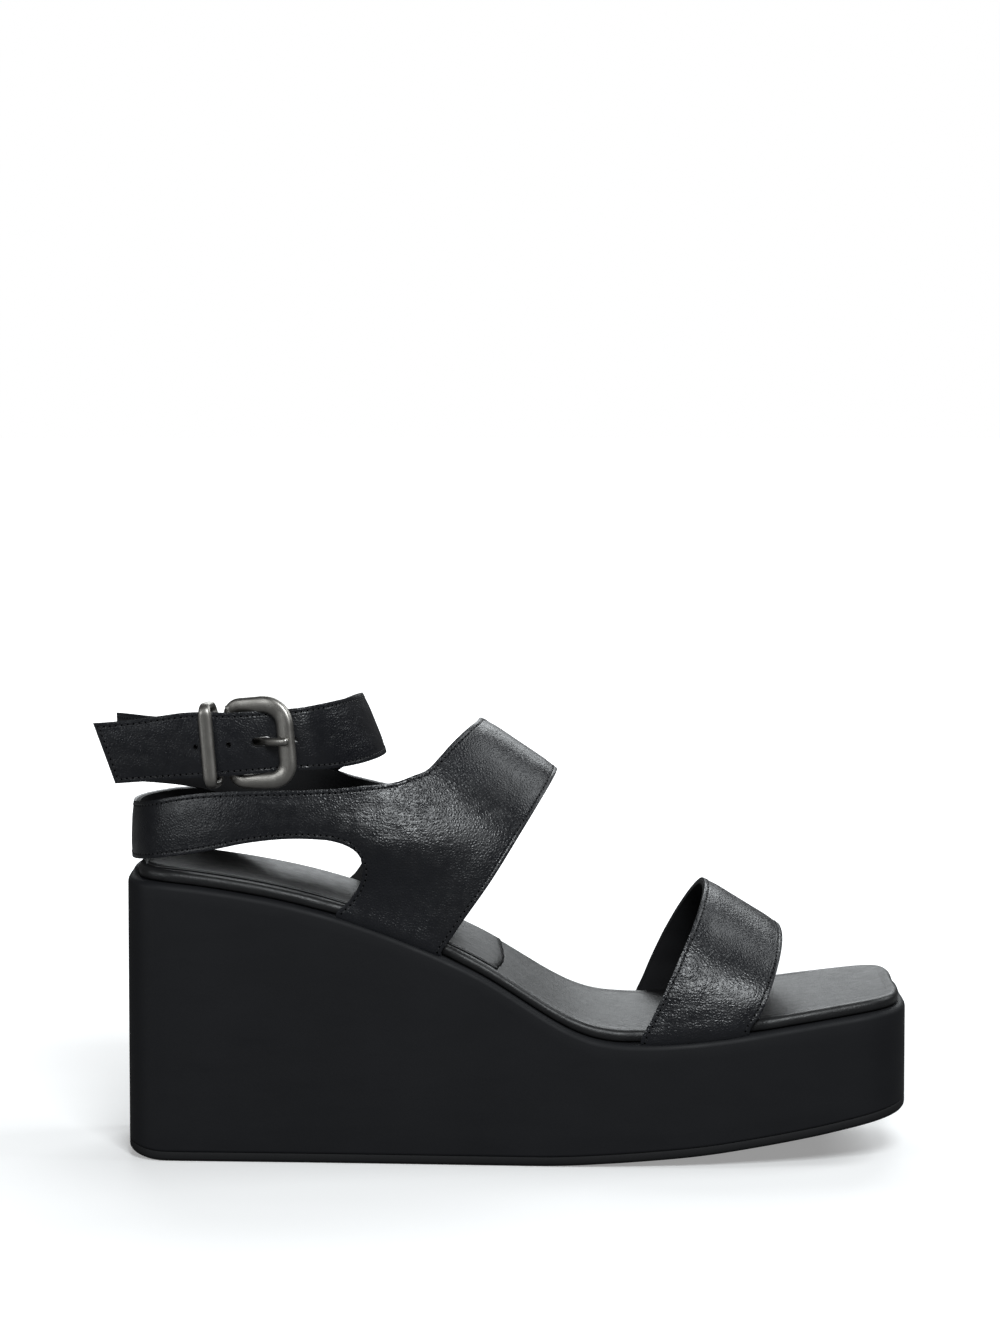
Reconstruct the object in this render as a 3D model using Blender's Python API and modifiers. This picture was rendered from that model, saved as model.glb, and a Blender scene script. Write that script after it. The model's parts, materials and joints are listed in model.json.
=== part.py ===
"""Right-foot wedge sandal: sole unit, toe strap, instep strap and a harness of buckled ankle straps.

Driving dimensions are in millimetres and become metres where geometry is made.
+X points to the toe, -Y to the outer side with the buckle, +Z up. The origin is on the ground
under the middle of the sole.
"""
import math

import bpy
import bmesh
import numpy as np
from mathutils import Matrix, Vector

MM = 0.001
GAP = 0.3

# Sole unit
OUTSOLE_THICKNESS = 3.0
BOARD_THICKNESS = 1.2
FOAM_THICKNESS = 1.2
COVER_THICKNESS = 0.8
SOCK_THICKNESS = 0.7
COVER_INSET = 4.0
BOARD_INSET = COVER_INSET + 0.8
SOCK_INSET = 8.0
SOCK_FRONT = -4.0
FOOTBED_HEIGHT = GAP + BOARD_THICKNESS + GAP + FOAM_THICKNESS + GAP + COVER_THICKNESS
SHANK_WIDTH = 12.0
SHANK_REAR, SHANK_FRONT = -86.0, 4.0
SHANK_THICKNESS = 1.3
RIVET_POSITIONS = {"shank_rivet_rear": -78.0, "shank_rivet_front": -5.0}
TREAD_GROOVES = (-84.0, -60.0, -36.0, -12.0, 12.0)
TREAD_GROOVE_SIZE = (2.5, 1.2)

# Height of the wedge's top and of the sole's underside along the sole
WEDGE_TOP = [(-133, 92.4), (-125, 92), (-102, 89.8), (-70, 84), (-42, 75.2), (-13, 62.8),
             (4, 52.2), (15, 45.5), (24, 41.8), (35, 40.4), (59, 41.4), (95, 46.6), (125, 51), (133, 51.9)]
UNDERSIDE = [(-133, 4.6), (-127, 3.3), (-118, 0.3), (-110, 0), (-95, 0), (8, 0), (22, 0.8), (37, 1.9),
             (57, 3.8), (76, 6.7), (95, 10), (114, 14.1), (126.8, 18), (133, 20.3)]

# Outline of the sole from above, heel to toe, and its corners (start, control, end)
OUTER_SIDE = [(-113, -35), (-60, -38.2), (-10, -42), (35, -45.3), (60, -45.5), (90, -43.5), (112, -39.5)]
INNER_SIDE = [(109, 41.5), (90, 44.8), (70, 46), (45, 45), (-10, 35.5), (-40, 32), (-113, 31)]
TOE_CORNERS = [((112, -39.5), (125.4, -37), (126.4, -24)), ((126.4, 26), (125.4, 39), (109, 41.5))]
HEEL_CORNERS = [((-113, 31), (-127.2, 31), (-127.7, 17)), ((-127.7, -19), (-127.2, -35), (-113, -35))]
TOE_MIDDLE, HEEL_MIDDLE = (126.8, 1.0), (-128.0, 0.0)

# Leather straps: the outer face is the reference, the layers lie under it
OUTER_LEATHER = (0.0, 1.0)
LINING_LEATHER = (1.3, 2.2)
STRAP_THICKNESS = LINING_LEATHER[1]
STRAP_LIP = 0.9
LASTING_RADIUS = 3.0
LASTING_LENGTH = 12.0

# Toe strap: two arched edges that lean forward
TOE_REAR_BASE, TOE_REAR_APEX = 39.5, (61.8, 88.0)
TOE_FRONT_BASE, TOE_FRONT_APEX = 74.7, (87.2, 72.0)
TOE_ARCH_POWER = 2.5
TOE_REAR_INNER_SHIFT = -1.4

# Instep strap: its edges from the sole to the middle of the instep, and x and z of the edge where
# the harness straps grow out of it
OUTER_JUNCTION = ((-49.5, 103.0), (-37.0, 124.5))
INNER_JUNCTION = ((-48.2, 97.5), (-36.0, 114.0))
JUNCTION_GAP = 1.1
INSTEP_REAR = [(-59, -37.4, 82), (-54, -37.2, 87), (-50, -37.3, 94.5), (-49.5, -37.1, 103),
               (-43.3, -36.6, 113.7), (-37, -34.8, 124.5), (-29.6, -32, 128), (-22.5, -25, 135),
               (-17, -17.5, 139.7), (-13.6, -9, 141.6), (-12.5, 0, 142)]
INSTEP_REAR_INNER = [(-11, 8.3, 140), (-13, 16.1, 135.5), (-18.5, 23, 128.6), (-27, 29, 120.5),
                     (-36, 32.4, 114), (-42, 33.7, 106), (-48.2, 33.9, 97.5), (-51.5, 33.3, 91.5),
                     (-55, 32.2, 86), (-59, 31.1, 82)]
INSTEP_FRONT = [(-25, -40, 70), (-19, -39.8, 78), (-9, -37.5, 92), (0, -32.3, 106), (7, -23.5, 116.5),
                (11.7, -12, 123.2), (13, 0, 125)]
INSTEP_FRONT_INNER = [(11.7, 11, 123.2), (7, 21.6, 116.5), (0, 29.4, 106), (-9, 33.6, 92),
                      (-19, 35, 78), (-25, 34.2, 70)]

# Buckle: where the front bar crosses the ankle strap, and the direction to the strap's tip
BUCKLE_POINT = (-74.5, -35.3, 138.1)
BUCKLE_YAW = math.radians(10)
BUCKLE_PITCH = math.radians(5)
BAR_DISTANCE = 19.0
BAR_DEPTH = -3.05
BAR_RADIUS = 1.4
WRAP_RADIUS = BAR_RADIUS + GAP + OUTER_LEATHER[1]
FRONT_BAR_RISE = 5.55
FRAME_THICKNESS = 2.4
FRAME_HEIGHT = 30.6
FRAME_OPENING = 21.5
FRAME_FRONT_BAR = 5.6
PRONG_RADIUS = 1.0
PRONG_RING_RADIUS = 2.5
KEEPER_DISTANCE = 25.8
KEEPER_WIDTH = 4.7
KEEPER_WALL = 1.8
KEEPER_OPENING = (24.6, 7.6)
KEEPER_DEPTH = -1.05
TIP_HINGE_DISTANCE = 42.0
ANKLE_STRAP_WIDTH = 20.2
SWELL_DISTANCE, SWELL_REACH = 33.0, 11.0
SWELL_LIFT, SWELL_WIDTH = 0.7, 1.4
STRAP_HOLES = (-14.0, -3.0, 19.0, 30.0)
HOLE_RADIUS = 1.4
PRONG_SLOT = (4.3, 14.0)
PRONG_SLOT_WIDTH = 3.4
LOOP_SLOT = (15.5, 23.0)
LOOP_SLOT_WIDTH = 5.4
LINING_START = 24.0

# Colours (linear RGB), roughness, metallic
BLACK_FOAM = ((0.012, 0.012, 0.014), 0.85, 0.0)
BLACK_RUBBER = ((0.010, 0.010, 0.011), 0.75, 0.0)
BLACK_LEATHER = ((0.010, 0.010, 0.011), 0.35, 0.0)
LINING = ((0.016, 0.015, 0.015), 0.60, 0.0)
BOARD = ((0.30, 0.22, 0.14), 0.90, 0.0)
PADDING = ((0.20, 0.20, 0.21), 0.95, 0.0)
STEEL = ((0.45, 0.45, 0.46), 0.40, 1.0)
AGED_NICKEL = ((0.36, 0.34, 0.31), 0.38, 1.0)


# ---------------------------------------------------------------- curves and outlines

def unit(vector):
    return vector / np.linalg.norm(vector)


def smooth_path(knots, count):
    """Evenly spaced points on a centripetal Catmull-Rom curve; columns after the third ride along."""
    points = np.array(knots, dtype=float)
    places = min(3, points.shape[1])
    padded = np.vstack([2 * points[0] - points[1], points, 2 * points[-1] - points[-2]])
    dense = []
    for i in range(1, len(padded) - 2):
        p = padded[i - 1:i + 3]
        spans = [max(np.linalg.norm((p[j + 1] - p[j])[:places]) ** 0.5, 1e-6) for j in range(3)]
        t = np.concatenate([[0.0], np.cumsum(spans)])
        for now in np.linspace(t[1], t[2], 24, endpoint=False):
            a = [((t[j + 1] - now) * p[j] + (now - t[j]) * p[j + 1]) / (t[j + 1] - t[j]) for j in range(3)]
            b = [((t[j + 2] - now) * a[j] + (now - t[j]) * a[j + 1]) / (t[j + 2] - t[j]) for j in range(2)]
            dense.append(((t[2] - now) * b[0] + (now - t[1]) * b[1]) / (t[2] - t[1]))
    dense.append(points[-1])
    dense = np.array(dense)
    steps = np.linalg.norm(np.diff(dense[:, :places], axis=0), axis=1)
    along = np.concatenate([[0.0], np.cumsum(steps)])
    even = np.linspace(0.0, along[-1], count)
    return np.column_stack([np.interp(even, along, dense[:, k]) for k in range(dense.shape[1])])


def height_function(knots):
    """Height along the sole as a function of x."""
    dense = smooth_path(knots, 400)
    return lambda x: float(np.interp(x, dense[:, 0], dense[:, 1]))


def corner(start, control, end, count=7):
    """Rounded corner as a quadratic arc."""
    a, b, c = (np.array(p, dtype=float) for p in (start, control, end))
    return [(1 - t) ** 2 * a + 2 * t * (1 - t) * b + t ** 2 * c for t in np.linspace(0, 1, count)[1:-1]]


def sole_outline():
    """Outline of the sole from above, counter-clockwise."""
    outer = list(smooth_path(OUTER_SIDE, 16))
    inner = list(smooth_path(INNER_SIDE, 16))
    toe_front = [np.array(TOE_CORNERS[0][2]), np.array(TOE_MIDDLE), np.array(TOE_CORNERS[1][0])]
    heel_back = [np.array(HEEL_CORNERS[0][2]), np.array(HEEL_MIDDLE), np.array(HEEL_CORNERS[1][0])]
    points = outer + corner(*TOE_CORNERS[0]) + toe_front + corner(*TOE_CORNERS[1])
    points += inner + corner(*HEEL_CORNERS[0]) + heel_back + corner(*HEEL_CORNERS[1])
    return np.array(points)


def inset(points, distance):
    """Moves a counter-clockwise outline inwards."""
    before, after = np.roll(points, 1, axis=0), np.roll(points, -1, axis=0)
    along = after - before
    along /= np.linalg.norm(along, axis=1)[:, None]
    inward = np.column_stack([-along[:, 1], along[:, 0]])
    return points + inward * distance


def side_y(x, distance, inner=False):
    """Y of the inset outline at x, on the outer or inner side."""
    points = smooth_path(INNER_SIDE[::-1] if inner else OUTER_SIDE, 60)
    edge = float(np.interp(x, points[:, 0], points[:, 1]))
    return edge - distance if inner else edge + distance


def rounded_rectangle(width, height, radius, steps=4):
    """Counter-clockwise rounded rectangle around the origin."""
    points = []
    for quarter in range(4):
        sign_x = 1 if quarter in (0, 3) else -1
        sign_y = 1 if quarter in (0, 1) else -1
        for k in range(steps + 1):
            angle = math.radians(90 * quarter + 90 * k / steps)
            points.append((sign_x * (width / 2 - radius) + radius * math.cos(angle),
                           sign_y * (height / 2 - radius) + radius * math.sin(angle)))
    return points


wedge_top = height_function(WEDGE_TOP)
spring_curve = height_function(UNDERSIDE)


def underside(x):
    """Height of the sole's underside: flat on the ground but for the toe spring and the heel's bevel."""
    return max(0.0, spring_curve(x))


# ---------------------------------------------------------------- objects

def clear_scene():
    for old in list(bpy.data.objects):
        bpy.data.objects.remove(old, do_unlink=True)


def new_collection(name):
    collection = bpy.data.collections.new(name)
    bpy.context.scene.collection.children.link(collection)
    return collection


def material(name, look):
    colour, roughness, metallic = look
    made = bpy.data.materials.new(name)
    made.use_nodes = True
    shader = made.node_tree.nodes["Principled BSDF"]
    shader.inputs["Base Color"].default_value = (*colour, 1.0)
    shader.inputs["Roughness"].default_value = roughness
    shader.inputs["Metallic"].default_value = metallic
    made.diffuse_color = (*colour, 1.0)
    return made


def finish(obj, look):
    """Gives a piece its own material and puts it with the parts."""
    obj.data.materials.append(material(obj.name + "_material", look))
    obj.data.shade_smooth()
    obj.data.set_sharp_from_angle(angle=math.radians(35))
    PARTS.objects.link(obj)
    return obj


def as_cutter(obj):
    obj.hide_render = True
    obj.display_type = "WIRE"
    CUTTERS.objects.link(obj)
    return obj


def prism(name, outlines, thickness, matrix=Matrix.Identity(4)):
    """Flat outlines (mm) extruded both ways from their plane, as a welded mesh object."""
    curve = bpy.data.curves.new(name + "_outline", "CURVE")
    curve.dimensions = "2D"
    curve.fill_mode = "BOTH"
    curve.extrude = thickness / 2 * MM
    for outline in outlines:
        spline = curve.splines.new("POLY")
        spline.points.add(len(outline) - 1)
        for point, (x, y) in zip(spline.points, outline):
            point.co = (x * MM, y * MM, 0.0, 1.0)
        spline.use_cyclic_u = True
    guide = bpy.data.objects.new(name + "_outline", curve)
    bpy.context.scene.collection.objects.link(guide)
    bpy.context.view_layer.update()
    evaluated = guide.evaluated_get(bpy.context.evaluated_depsgraph_get())
    mesh = bpy.data.meshes.new_from_object(evaluated)
    mesh.name = name
    bpy.data.objects.remove(guide, do_unlink=True)
    weld(mesh)
    obj = bpy.data.objects.new(name, mesh)
    obj.matrix_world = matrix
    return obj


def weld(mesh):
    work = bmesh.new()
    work.from_mesh(mesh)
    bmesh.ops.remove_doubles(work, verts=work.verts, dist=1e-6)
    bmesh.ops.recalc_face_normals(work, faces=work.faces)
    work.to_mesh(mesh)
    work.free()


def boolean(obj, cutter, operation="DIFFERENCE"):
    modifier = obj.modifiers.new(operation.lower(), "BOOLEAN")
    modifier.operation = operation
    modifier.solver = "EXACT"
    modifier.object = cutter
    return modifier


def cylinder(name, radius, length, matrix, sides=16):
    """Cylinder along the matrix's local Z, centred on its origin."""
    mesh = bpy.data.meshes.new(name)
    work = bmesh.new()
    bmesh.ops.create_cone(work, cap_ends=True, segments=sides, radius1=radius * MM, radius2=radius * MM,
                          depth=length * MM)
    work.to_mesh(mesh)
    work.free()
    obj = bpy.data.objects.new(name, mesh)
    obj.matrix_world = matrix
    return obj


def box(name, size, matrix):
    mesh = bpy.data.meshes.new(name)
    work = bmesh.new()
    bmesh.ops.create_cube(work, size=1.0, matrix=Matrix.Diagonal((*[s * MM for s in size], 1.0)))
    work.to_mesh(mesh)
    work.free()
    obj = bpy.data.objects.new(name, mesh)
    obj.matrix_world = matrix
    return obj


# ---------------------------------------------------------------- sole unit

SIDE_PLANE = Matrix.Rotation(math.radians(90), 4, "X")
STATIONS = np.linspace(-133, 133, 34)


def side_band(name, low, high, thickness=130.0, start=-133.0, end=133.0, y=0.0):
    """Band between two heights along the sole, extruded sideways around y."""
    xs = [start] + [x for x in STATIONS if start < x < end] + [end]
    outline = [(x, low(x)) for x in xs] + [(x, high(x)) for x in reversed(xs)]
    return prism(name, [outline], thickness, Matrix.Translation((0, y * MM, 0)) @ SIDE_PLANE)


def plan_cutter(name, distance, front=None):
    """Tall prism on the inset sole outline, kept behind front if that is given."""
    outline = inset(sole_outline(), distance)
    if front is not None:
        outline = np.array([(min(x, front), y) for x, y in outline if x < front + 6])
    return as_cutter(prism(name, [outline], 300.0, Matrix.Translation((0, 0, 0.05))))


def above_wedge(offset):
    return lambda x: wedge_top(x) + offset


def make_outsole():
    outsole = side_band("outsole", underside, lambda x: underside(x) + OUTSOLE_THICKNESS)
    boolean(outsole, plan_cutter("outsole_plan", 0.0), "INTERSECT")
    width, depth = TREAD_GROOVE_SIZE
    for x in TREAD_GROOVES:
        groove = box("tread_groove", (width, 120, 2 * depth), Matrix.Translation((x * MM, 0, 0)))
        boolean(outsole, as_cutter(groove))
    return finish(outsole, BLACK_RUBBER)


def lasting_pockets():
    """Shallow pockets where the ends of the toe and instep straps lie under the board."""
    spans = [(TOE_REAR_BASE - 1, TOE_FRONT_BASE + 1), (INSTEP_REAR[0][0] - 1, INSTEP_FRONT[0][0] + 1)]
    pockets = []
    for start, end in spans:
        for inner in (False, True):
            xs = (start, (start + end) / 2, end)
            near = [side_y(x, STRAP_LIP - 0.4, inner) for x in xs]
            far = [side_y(x, STRAP_LIP + LASTING_LENGTH + 0.8, inner) for x in xs]
            outline = list(zip(xs, near)) + list(zip(reversed(xs), reversed(far)))
            pocket = side_band("lasting_pocket", above_wedge(-STRAP_THICKNESS - 0.65), above_wedge(2.0),
                               start=start - 5, end=end + 5)
            plan = as_cutter(prism("lasting_pocket_plan", [outline], 300.0, Matrix.Translation((0, 0, 0.05))))
            boolean(pocket, plan, "INTERSECT")
            pockets.append(as_cutter(pocket))
    return pockets


def slope_matrix(x):
    """Place on the wedge's top at x with local Z along its normal, and the cosine of the slope."""
    slope = math.atan2(wedge_top(x + 2) - wedge_top(x - 2), 4)
    place = Matrix.Translation((x * MM, 0, wedge_top(x) * MM))
    return place @ Matrix.Rotation(-slope, 4, "Y"), math.cos(slope)


def rivet_cutter(name, x, radius, low, high):
    place, squeeze = slope_matrix(x)
    centre = Matrix.Translation((0, 0, (low + high) / 2 * squeeze * MM))
    return as_cutter(cylinder(name, radius, (high - low) * squeeze, place @ centre))


def make_wedge():
    wedge = side_band("wedge", lambda x: underside(x) + OUTSOLE_THICKNESS + GAP, wedge_top)
    boolean(wedge, plan_cutter("wedge_plan", 0.0), "INTERSECT")
    for pocket in lasting_pockets():
        boolean(wedge, pocket)
    groove = side_band("shank_groove", above_wedge(-1.9), above_wedge(2.0), SHANK_WIDTH + 0.8,
                       SHANK_REAR - 0.5, SHANK_FRONT + 0.5)
    boolean(wedge, as_cutter(groove))
    for name, x in RIVET_POSITIONS.items():
        boolean(wedge, rivet_cutter(name + "_pocket", x, 3.0, -3.3, 0.0))
    return finish(wedge, BLACK_FOAM)


def make_board():
    board = side_band("insole_board", above_wedge(GAP), above_wedge(GAP + BOARD_THICKNESS))
    boolean(board, plan_cutter("board_plan", BOARD_INSET), "INTERSECT")
    for name, x in RIVET_POSITIONS.items():
        boolean(board, rivet_cutter(name + "_hole", x, 1.8, -1.0, 3.0))
        boolean(board, rivet_cutter(name + "_counterbore", x, 3.4, 0.7, 3.0))
    return finish(board, BOARD)


def make_shank():
    shank = side_band("shank", above_wedge(-0.2 - SHANK_THICKNESS), above_wedge(-0.2), SHANK_WIDTH,
                      SHANK_REAR, SHANK_FRONT)
    for name, x in RIVET_POSITIONS.items():
        boolean(shank, rivet_cutter(name + "_shank_hole", x, 1.8, -4.0, 3.0))
    return finish(shank, STEEL)


def make_rivet(name, x):
    """Turned rivet: head in the board, tail under the shank."""
    place, squeeze = slope_matrix(x)
    head_top, head_low, tail_top, tail_low = (h * squeeze for h in (1.45, 0.95, -1.85, -2.5))
    profile = [(0, head_top), (3.0, head_top), (3.0, head_low), (1.5, head_low),
               (1.5, tail_top), (2.4, tail_top), (2.4, tail_low), (0, tail_low)]
    mesh = bpy.data.meshes.new(name)
    edges = [(i, i + 1) for i in range(len(profile) - 1)]
    mesh.from_pydata([(r * MM, 0, z * MM) for r, z in profile], edges, [])
    rivet = bpy.data.objects.new(name, mesh)
    rivet.matrix_world = place
    screw = rivet.modifiers.new("turn", "SCREW")
    screw.steps = screw.render_steps = 16
    screw.use_merge_vertices = True
    screw.merge_threshold = 1e-6
    return finish(rivet, STEEL)


def make_footbed():
    low = GAP + BOARD_THICKNESS + GAP
    foam = side_band("footbed_foam", above_wedge(low), above_wedge(low + FOAM_THICKNESS))
    boolean(foam, plan_cutter("foam_plan", BOARD_INSET), "INTERSECT")
    finish(foam, PADDING)
    cover = side_band("footbed_cover", above_wedge(GAP), above_wedge(FOOTBED_HEIGHT))
    boolean(cover, plan_cutter("cover_plan", COVER_INSET), "INTERSECT")
    hollow = side_band("cover_hollow", above_wedge(-5.0), above_wedge(FOOTBED_HEIGHT - COVER_THICKNESS))
    boolean(hollow, plan_cutter("hollow_plan", COVER_INSET + 0.5), "INTERSECT")
    boolean(cover, as_cutter(hollow))
    finish(cover, BLACK_LEATHER)
    sock_low = FOOTBED_HEIGHT + GAP
    sock = side_band("heel_sock", above_wedge(sock_low), above_wedge(sock_low + SOCK_THICKNESS))
    boolean(sock, plan_cutter("sock_plan", SOCK_INSET, SOCK_FRONT), "INTERSECT")
    finish(sock, BLACK_LEATHER)


# ---------------------------------------------------------------- leather

def sheet(name, rows):
    """Open grid of faces through rows of points (mm); its normals point out of the strap."""
    rows = np.array(rows)
    count, across = rows.shape[:2]
    faces = [(r * across + c, r * across + c + 1, (r + 1) * across + c + 1, (r + 1) * across + c)
             for r in range(count - 1) for c in range(across - 1)]
    mesh = bpy.data.meshes.new(name)
    mesh.from_pydata([tuple(p * MM) for p in rows.reshape(-1, 3)], [], faces)
    return mesh


def layer(name, mesh, depths, look):
    """One layer of leather between two depths under the strap's outer face."""
    obj = bpy.data.objects.new(name, mesh.copy())
    solid = obj.modifiers.new("leather", "SOLIDIFY")
    solid.thickness = (depths[1] - depths[0]) * MM
    solid.offset = -(depths[0] + depths[1]) / (depths[1] - depths[0])
    solid.use_even_offset = True
    return finish(obj, look)


def leather_pair(name, rows, cutters=()):
    """Outer leather and lining of a strap, with the same holes."""
    mesh = sheet(name, rows)
    pair = [layer(name + "_outer", mesh, OUTER_LEATHER, BLACK_LEATHER),
            layer(name + "_lining", mesh, LINING_LEATHER, LINING)]
    for obj in pair:
        for cutter in cutters:
            boolean(obj, cutter)
    return pair


def lasted_rows(rear, front, across=5):
    """Rows over a strap from outer to inner side, with each end turned in under the board."""
    rows = []
    count = len(rear)
    for k in range(count):
        row = []
        near_base = max(0.0, 1 - min(k, count - 1 - k) / (0.3 * count))
        for c in np.linspace(0, 1, across):
            point = (1 - c) * rear[k] + c * front[k]
            base_x = (1 - c) * rear[0][0] + c * front[0][0]
            inner = k > count / 2
            foot = -1 if inner else 0
            base = snapped_base([base_x, 0.0, 0.0], inner)
            straight = (1 - c) * rear[foot] + c * front[foot]
            point[1:] += near_base * (np.array(base) - straight)[1:]
            row.append(point)
        rows.append(row)
    first, last = rows[0], rows[-1]
    turns = [math.radians(a) for a in (22.5, 45, 67.5, 90)]
    for end, inner in ((first, False), (last, True)):
        sign = 1 if inner else -1
        extra = []
        for angle in turns:
            drop = LASTING_RADIUS * math.sin(angle)
            inward = LASTING_RADIUS * (1 - math.cos(angle))
            extra.append([p + np.array([0, -sign * inward, -drop]) for p in end])
        extra.append([p + np.array([0, -sign * LASTING_LENGTH, -LASTING_RADIUS]) for p in end])
        rows = extra[::-1] + rows if not inner else rows + extra
    return rows


def snapped_base(point, inner):
    """Moves the foot of a strap's edge to its place beside the footbed."""
    x = point[0]
    point[1] = side_y(x, STRAP_LIP, inner)
    point[2] = wedge_top(x) + LASTING_RADIUS - STRAP_THICKNESS - 0.25
    return point


def make_toe_strap():
    def edge(base_x, apex, bend, inner_shift, count=19):
        base_z = wedge_top(base_x) + LASTING_RADIUS - STRAP_THICKNESS - 0.25
        outer, inner = side_y(base_x, STRAP_LIP), side_y(base_x, STRAP_LIP, True)
        knots = []
        for t in np.linspace(0, math.pi, 61):
            rise = math.sin(t) ** (2 / TOE_ARCH_POWER)
            reach = math.copysign(abs(math.cos(t)) ** (2 / TOE_ARCH_POWER), math.cos(t))
            y = (outer + inner) / 2 + reach * (outer - inner) / 2
            shift = inner_shift * math.sin(math.pi * rise) if reach < 0 else 0.0
            x = base_x + (apex[0] - base_x) * rise ** bend + shift
            knots.append((x, y, base_z + (apex[1] - base_z) * rise))
        return smooth_path(knots, count)

    rear = edge(TOE_REAR_BASE, TOE_REAR_APEX, 1.0, TOE_REAR_INNER_SHIFT)
    front = edge(TOE_FRONT_BASE, TOE_FRONT_APEX, 0.8, 0.0)
    leather_pair("toe_strap", lasted_rows(rear, front))


def make_instep_strap():
    def edge(outer_knots, inner_knots, count=31):
        knots = [list(knot) for knot in outer_knots + inner_knots]
        snapped_base(knots[0], False)
        snapped_base(knots[-1], True)
        return smooth_path(knots, count)

    rear = edge(INSTEP_REAR, INSTEP_REAR_INNER)
    front = edge(INSTEP_FRONT, INSTEP_FRONT_INNER)
    leather_pair("instep_strap", lasted_rows(rear, front))


# ---------------------------------------------------------------- harness

def buckle_axes():
    """Columns: forwards along the strap, up across it, outwards; with the origin at the front bar."""
    to_tip = Vector((-math.cos(BUCKLE_YAW) * math.cos(BUCKLE_PITCH),
                     math.sin(BUCKLE_YAW) * math.cos(BUCKLE_PITCH), -math.sin(BUCKLE_PITCH)))
    forward = -to_tip
    out = forward.cross(Vector((0, 0, 1))).normalized()
    up = out.cross(forward)
    axes = Matrix((forward, up, out)).transposed().to_4x4()
    return Matrix.Translation(Vector(BUCKLE_POINT) * MM) @ axes


def in_buckle(distance, out, up=0.0):
    """Point (mm) at a distance behind the front bar, towards the strap's tip."""
    return np.array(buckle_axes() @ Vector((-distance * MM, up * MM, out * MM))) / MM


def buckle_up():
    return np.array(buckle_axes().to_3x3() @ Vector((0, 1, 0)))


def strap_rise(distance):
    """Height of the ankle strap's face as it climbs over the bar behind the front bar."""
    t = min(max((distance - 3.0) / 14.0, 0.0), 1.0)
    return 2.2 * t * t * (3 - 2 * t)


def leaning(along, degrees):
    """Upright direction whose top leans inwards, for a strip that runs clockwise seen from above."""
    out = unit(np.array([-along[1], along[0], 0.0]))
    return np.array([0, 0, 1]) * math.cos(math.radians(degrees)) - out * math.sin(math.radians(degrees))


class Ribbon:
    """A strip of leather. A knot holds x, y, z, then how the strip stands there, then its width (mm).

    It stands by the inward lean of its upper edge in degrees, or along a given vector.
    """

    def __init__(self, knots):
        places = [np.array(knot[:3], dtype=float) for knot in knots]
        columns = []
        for i, knot in enumerate(knots):
            along = unit(places[min(i + 1, len(knots) - 1)] - places[max(i - 1, 0)])
            stand = leaning(along, knot[3]) if np.isscalar(knot[3]) else np.array(knot[3])
            columns.append([*places[i], *stand, knot[4]])
        self.samples = smooth_path(columns, 1500)
        steps = np.linalg.norm(np.diff(self.samples[:, :3], axis=0), axis=1)
        self.along = np.concatenate([[0.0], np.cumsum(steps)])
        self.length = self.along[-1]

    def at(self, s):
        return np.array([np.interp(s, self.along, column) for column in self.samples.T])

    def axes(self, s):
        """Centre and width, direction along, direction across and outward normal at a distance along."""
        here = self.at(s)
        along = unit(self.at(min(s + 0.4, self.length))[:3] - self.at(max(s - 0.4, 0.0))[:3])
        across = unit(here[3:6] - along * np.dot(here[3:6], along))
        return here, along, across, np.cross(across, along)

    def point(self, s, v, out=0.0):
        here, along, across, normal = self.axes(s)
        return here[:3] + across * v * here[6] / 2 + normal * out

    def matrix(self, s):
        """Place on the face at s: local X along, Y across, Z out."""
        here, along, across, normal = self.axes(s)
        turn = Matrix((Vector(along), Vector(across), Vector(np.cross(along, across)))).transposed()
        return Matrix.Translation(Vector(here[:3]) * MM) @ turn.to_4x4()

    def nearest(self, point):
        return self.along[np.argmin(np.linalg.norm(self.samples[:, :3] - point, axis=1))]

    def stations(self, start, end, step, turn=18.0):
        """Distances no further apart than step, and closer where the strip bends."""
        chosen, last = [start], self.axes(start)[1]
        for s in np.arange(start + 0.4, end - 0.8, 0.4):
            along = self.axes(s)[1]
            bend = math.degrees(math.acos(min(1.0, float(np.dot(last, along)))))
            if s - chosen[-1] >= step or bend > turn:
                chosen.append(s)
                last = along
        return chosen + [end]

    def rows(self, start, end, step=7.0, across=3):
        """Rows of points; start and end are functions of v from -1 (lower edge) to 1."""
        first, final = start(0.0), end(0.0)
        made = []
        for s in self.stations(first, final, step):
            share = (s - first) / (final - first)
            made.append([self.point(start(v) + share * (end(v) - start(v)), v)
                         for v in np.linspace(-1, 1, across)])
        return made


def at_junction(ribbon, junction, low, high):
    """Function of v: where the strip meets the instep strap's rear edge, with a gap."""
    (low_x, low_z), (high_x, high_z) = junction
    slope = (high_x - low_x) / (high_z - low_z)

    def ahead(s, v):
        x, y, z = ribbon.point(s, v)
        return x - (low_x + slope * (z - low_z) - JUNCTION_GAP)

    def solve(v):
        a, b = low, high
        for _ in range(40):
            middle = (a + b) / 2
            if (ahead(middle, v) > 0) == (ahead(a, v) > 0):
                a = middle
            else:
                b = middle
        return (a + b) / 2

    return solve


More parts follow.
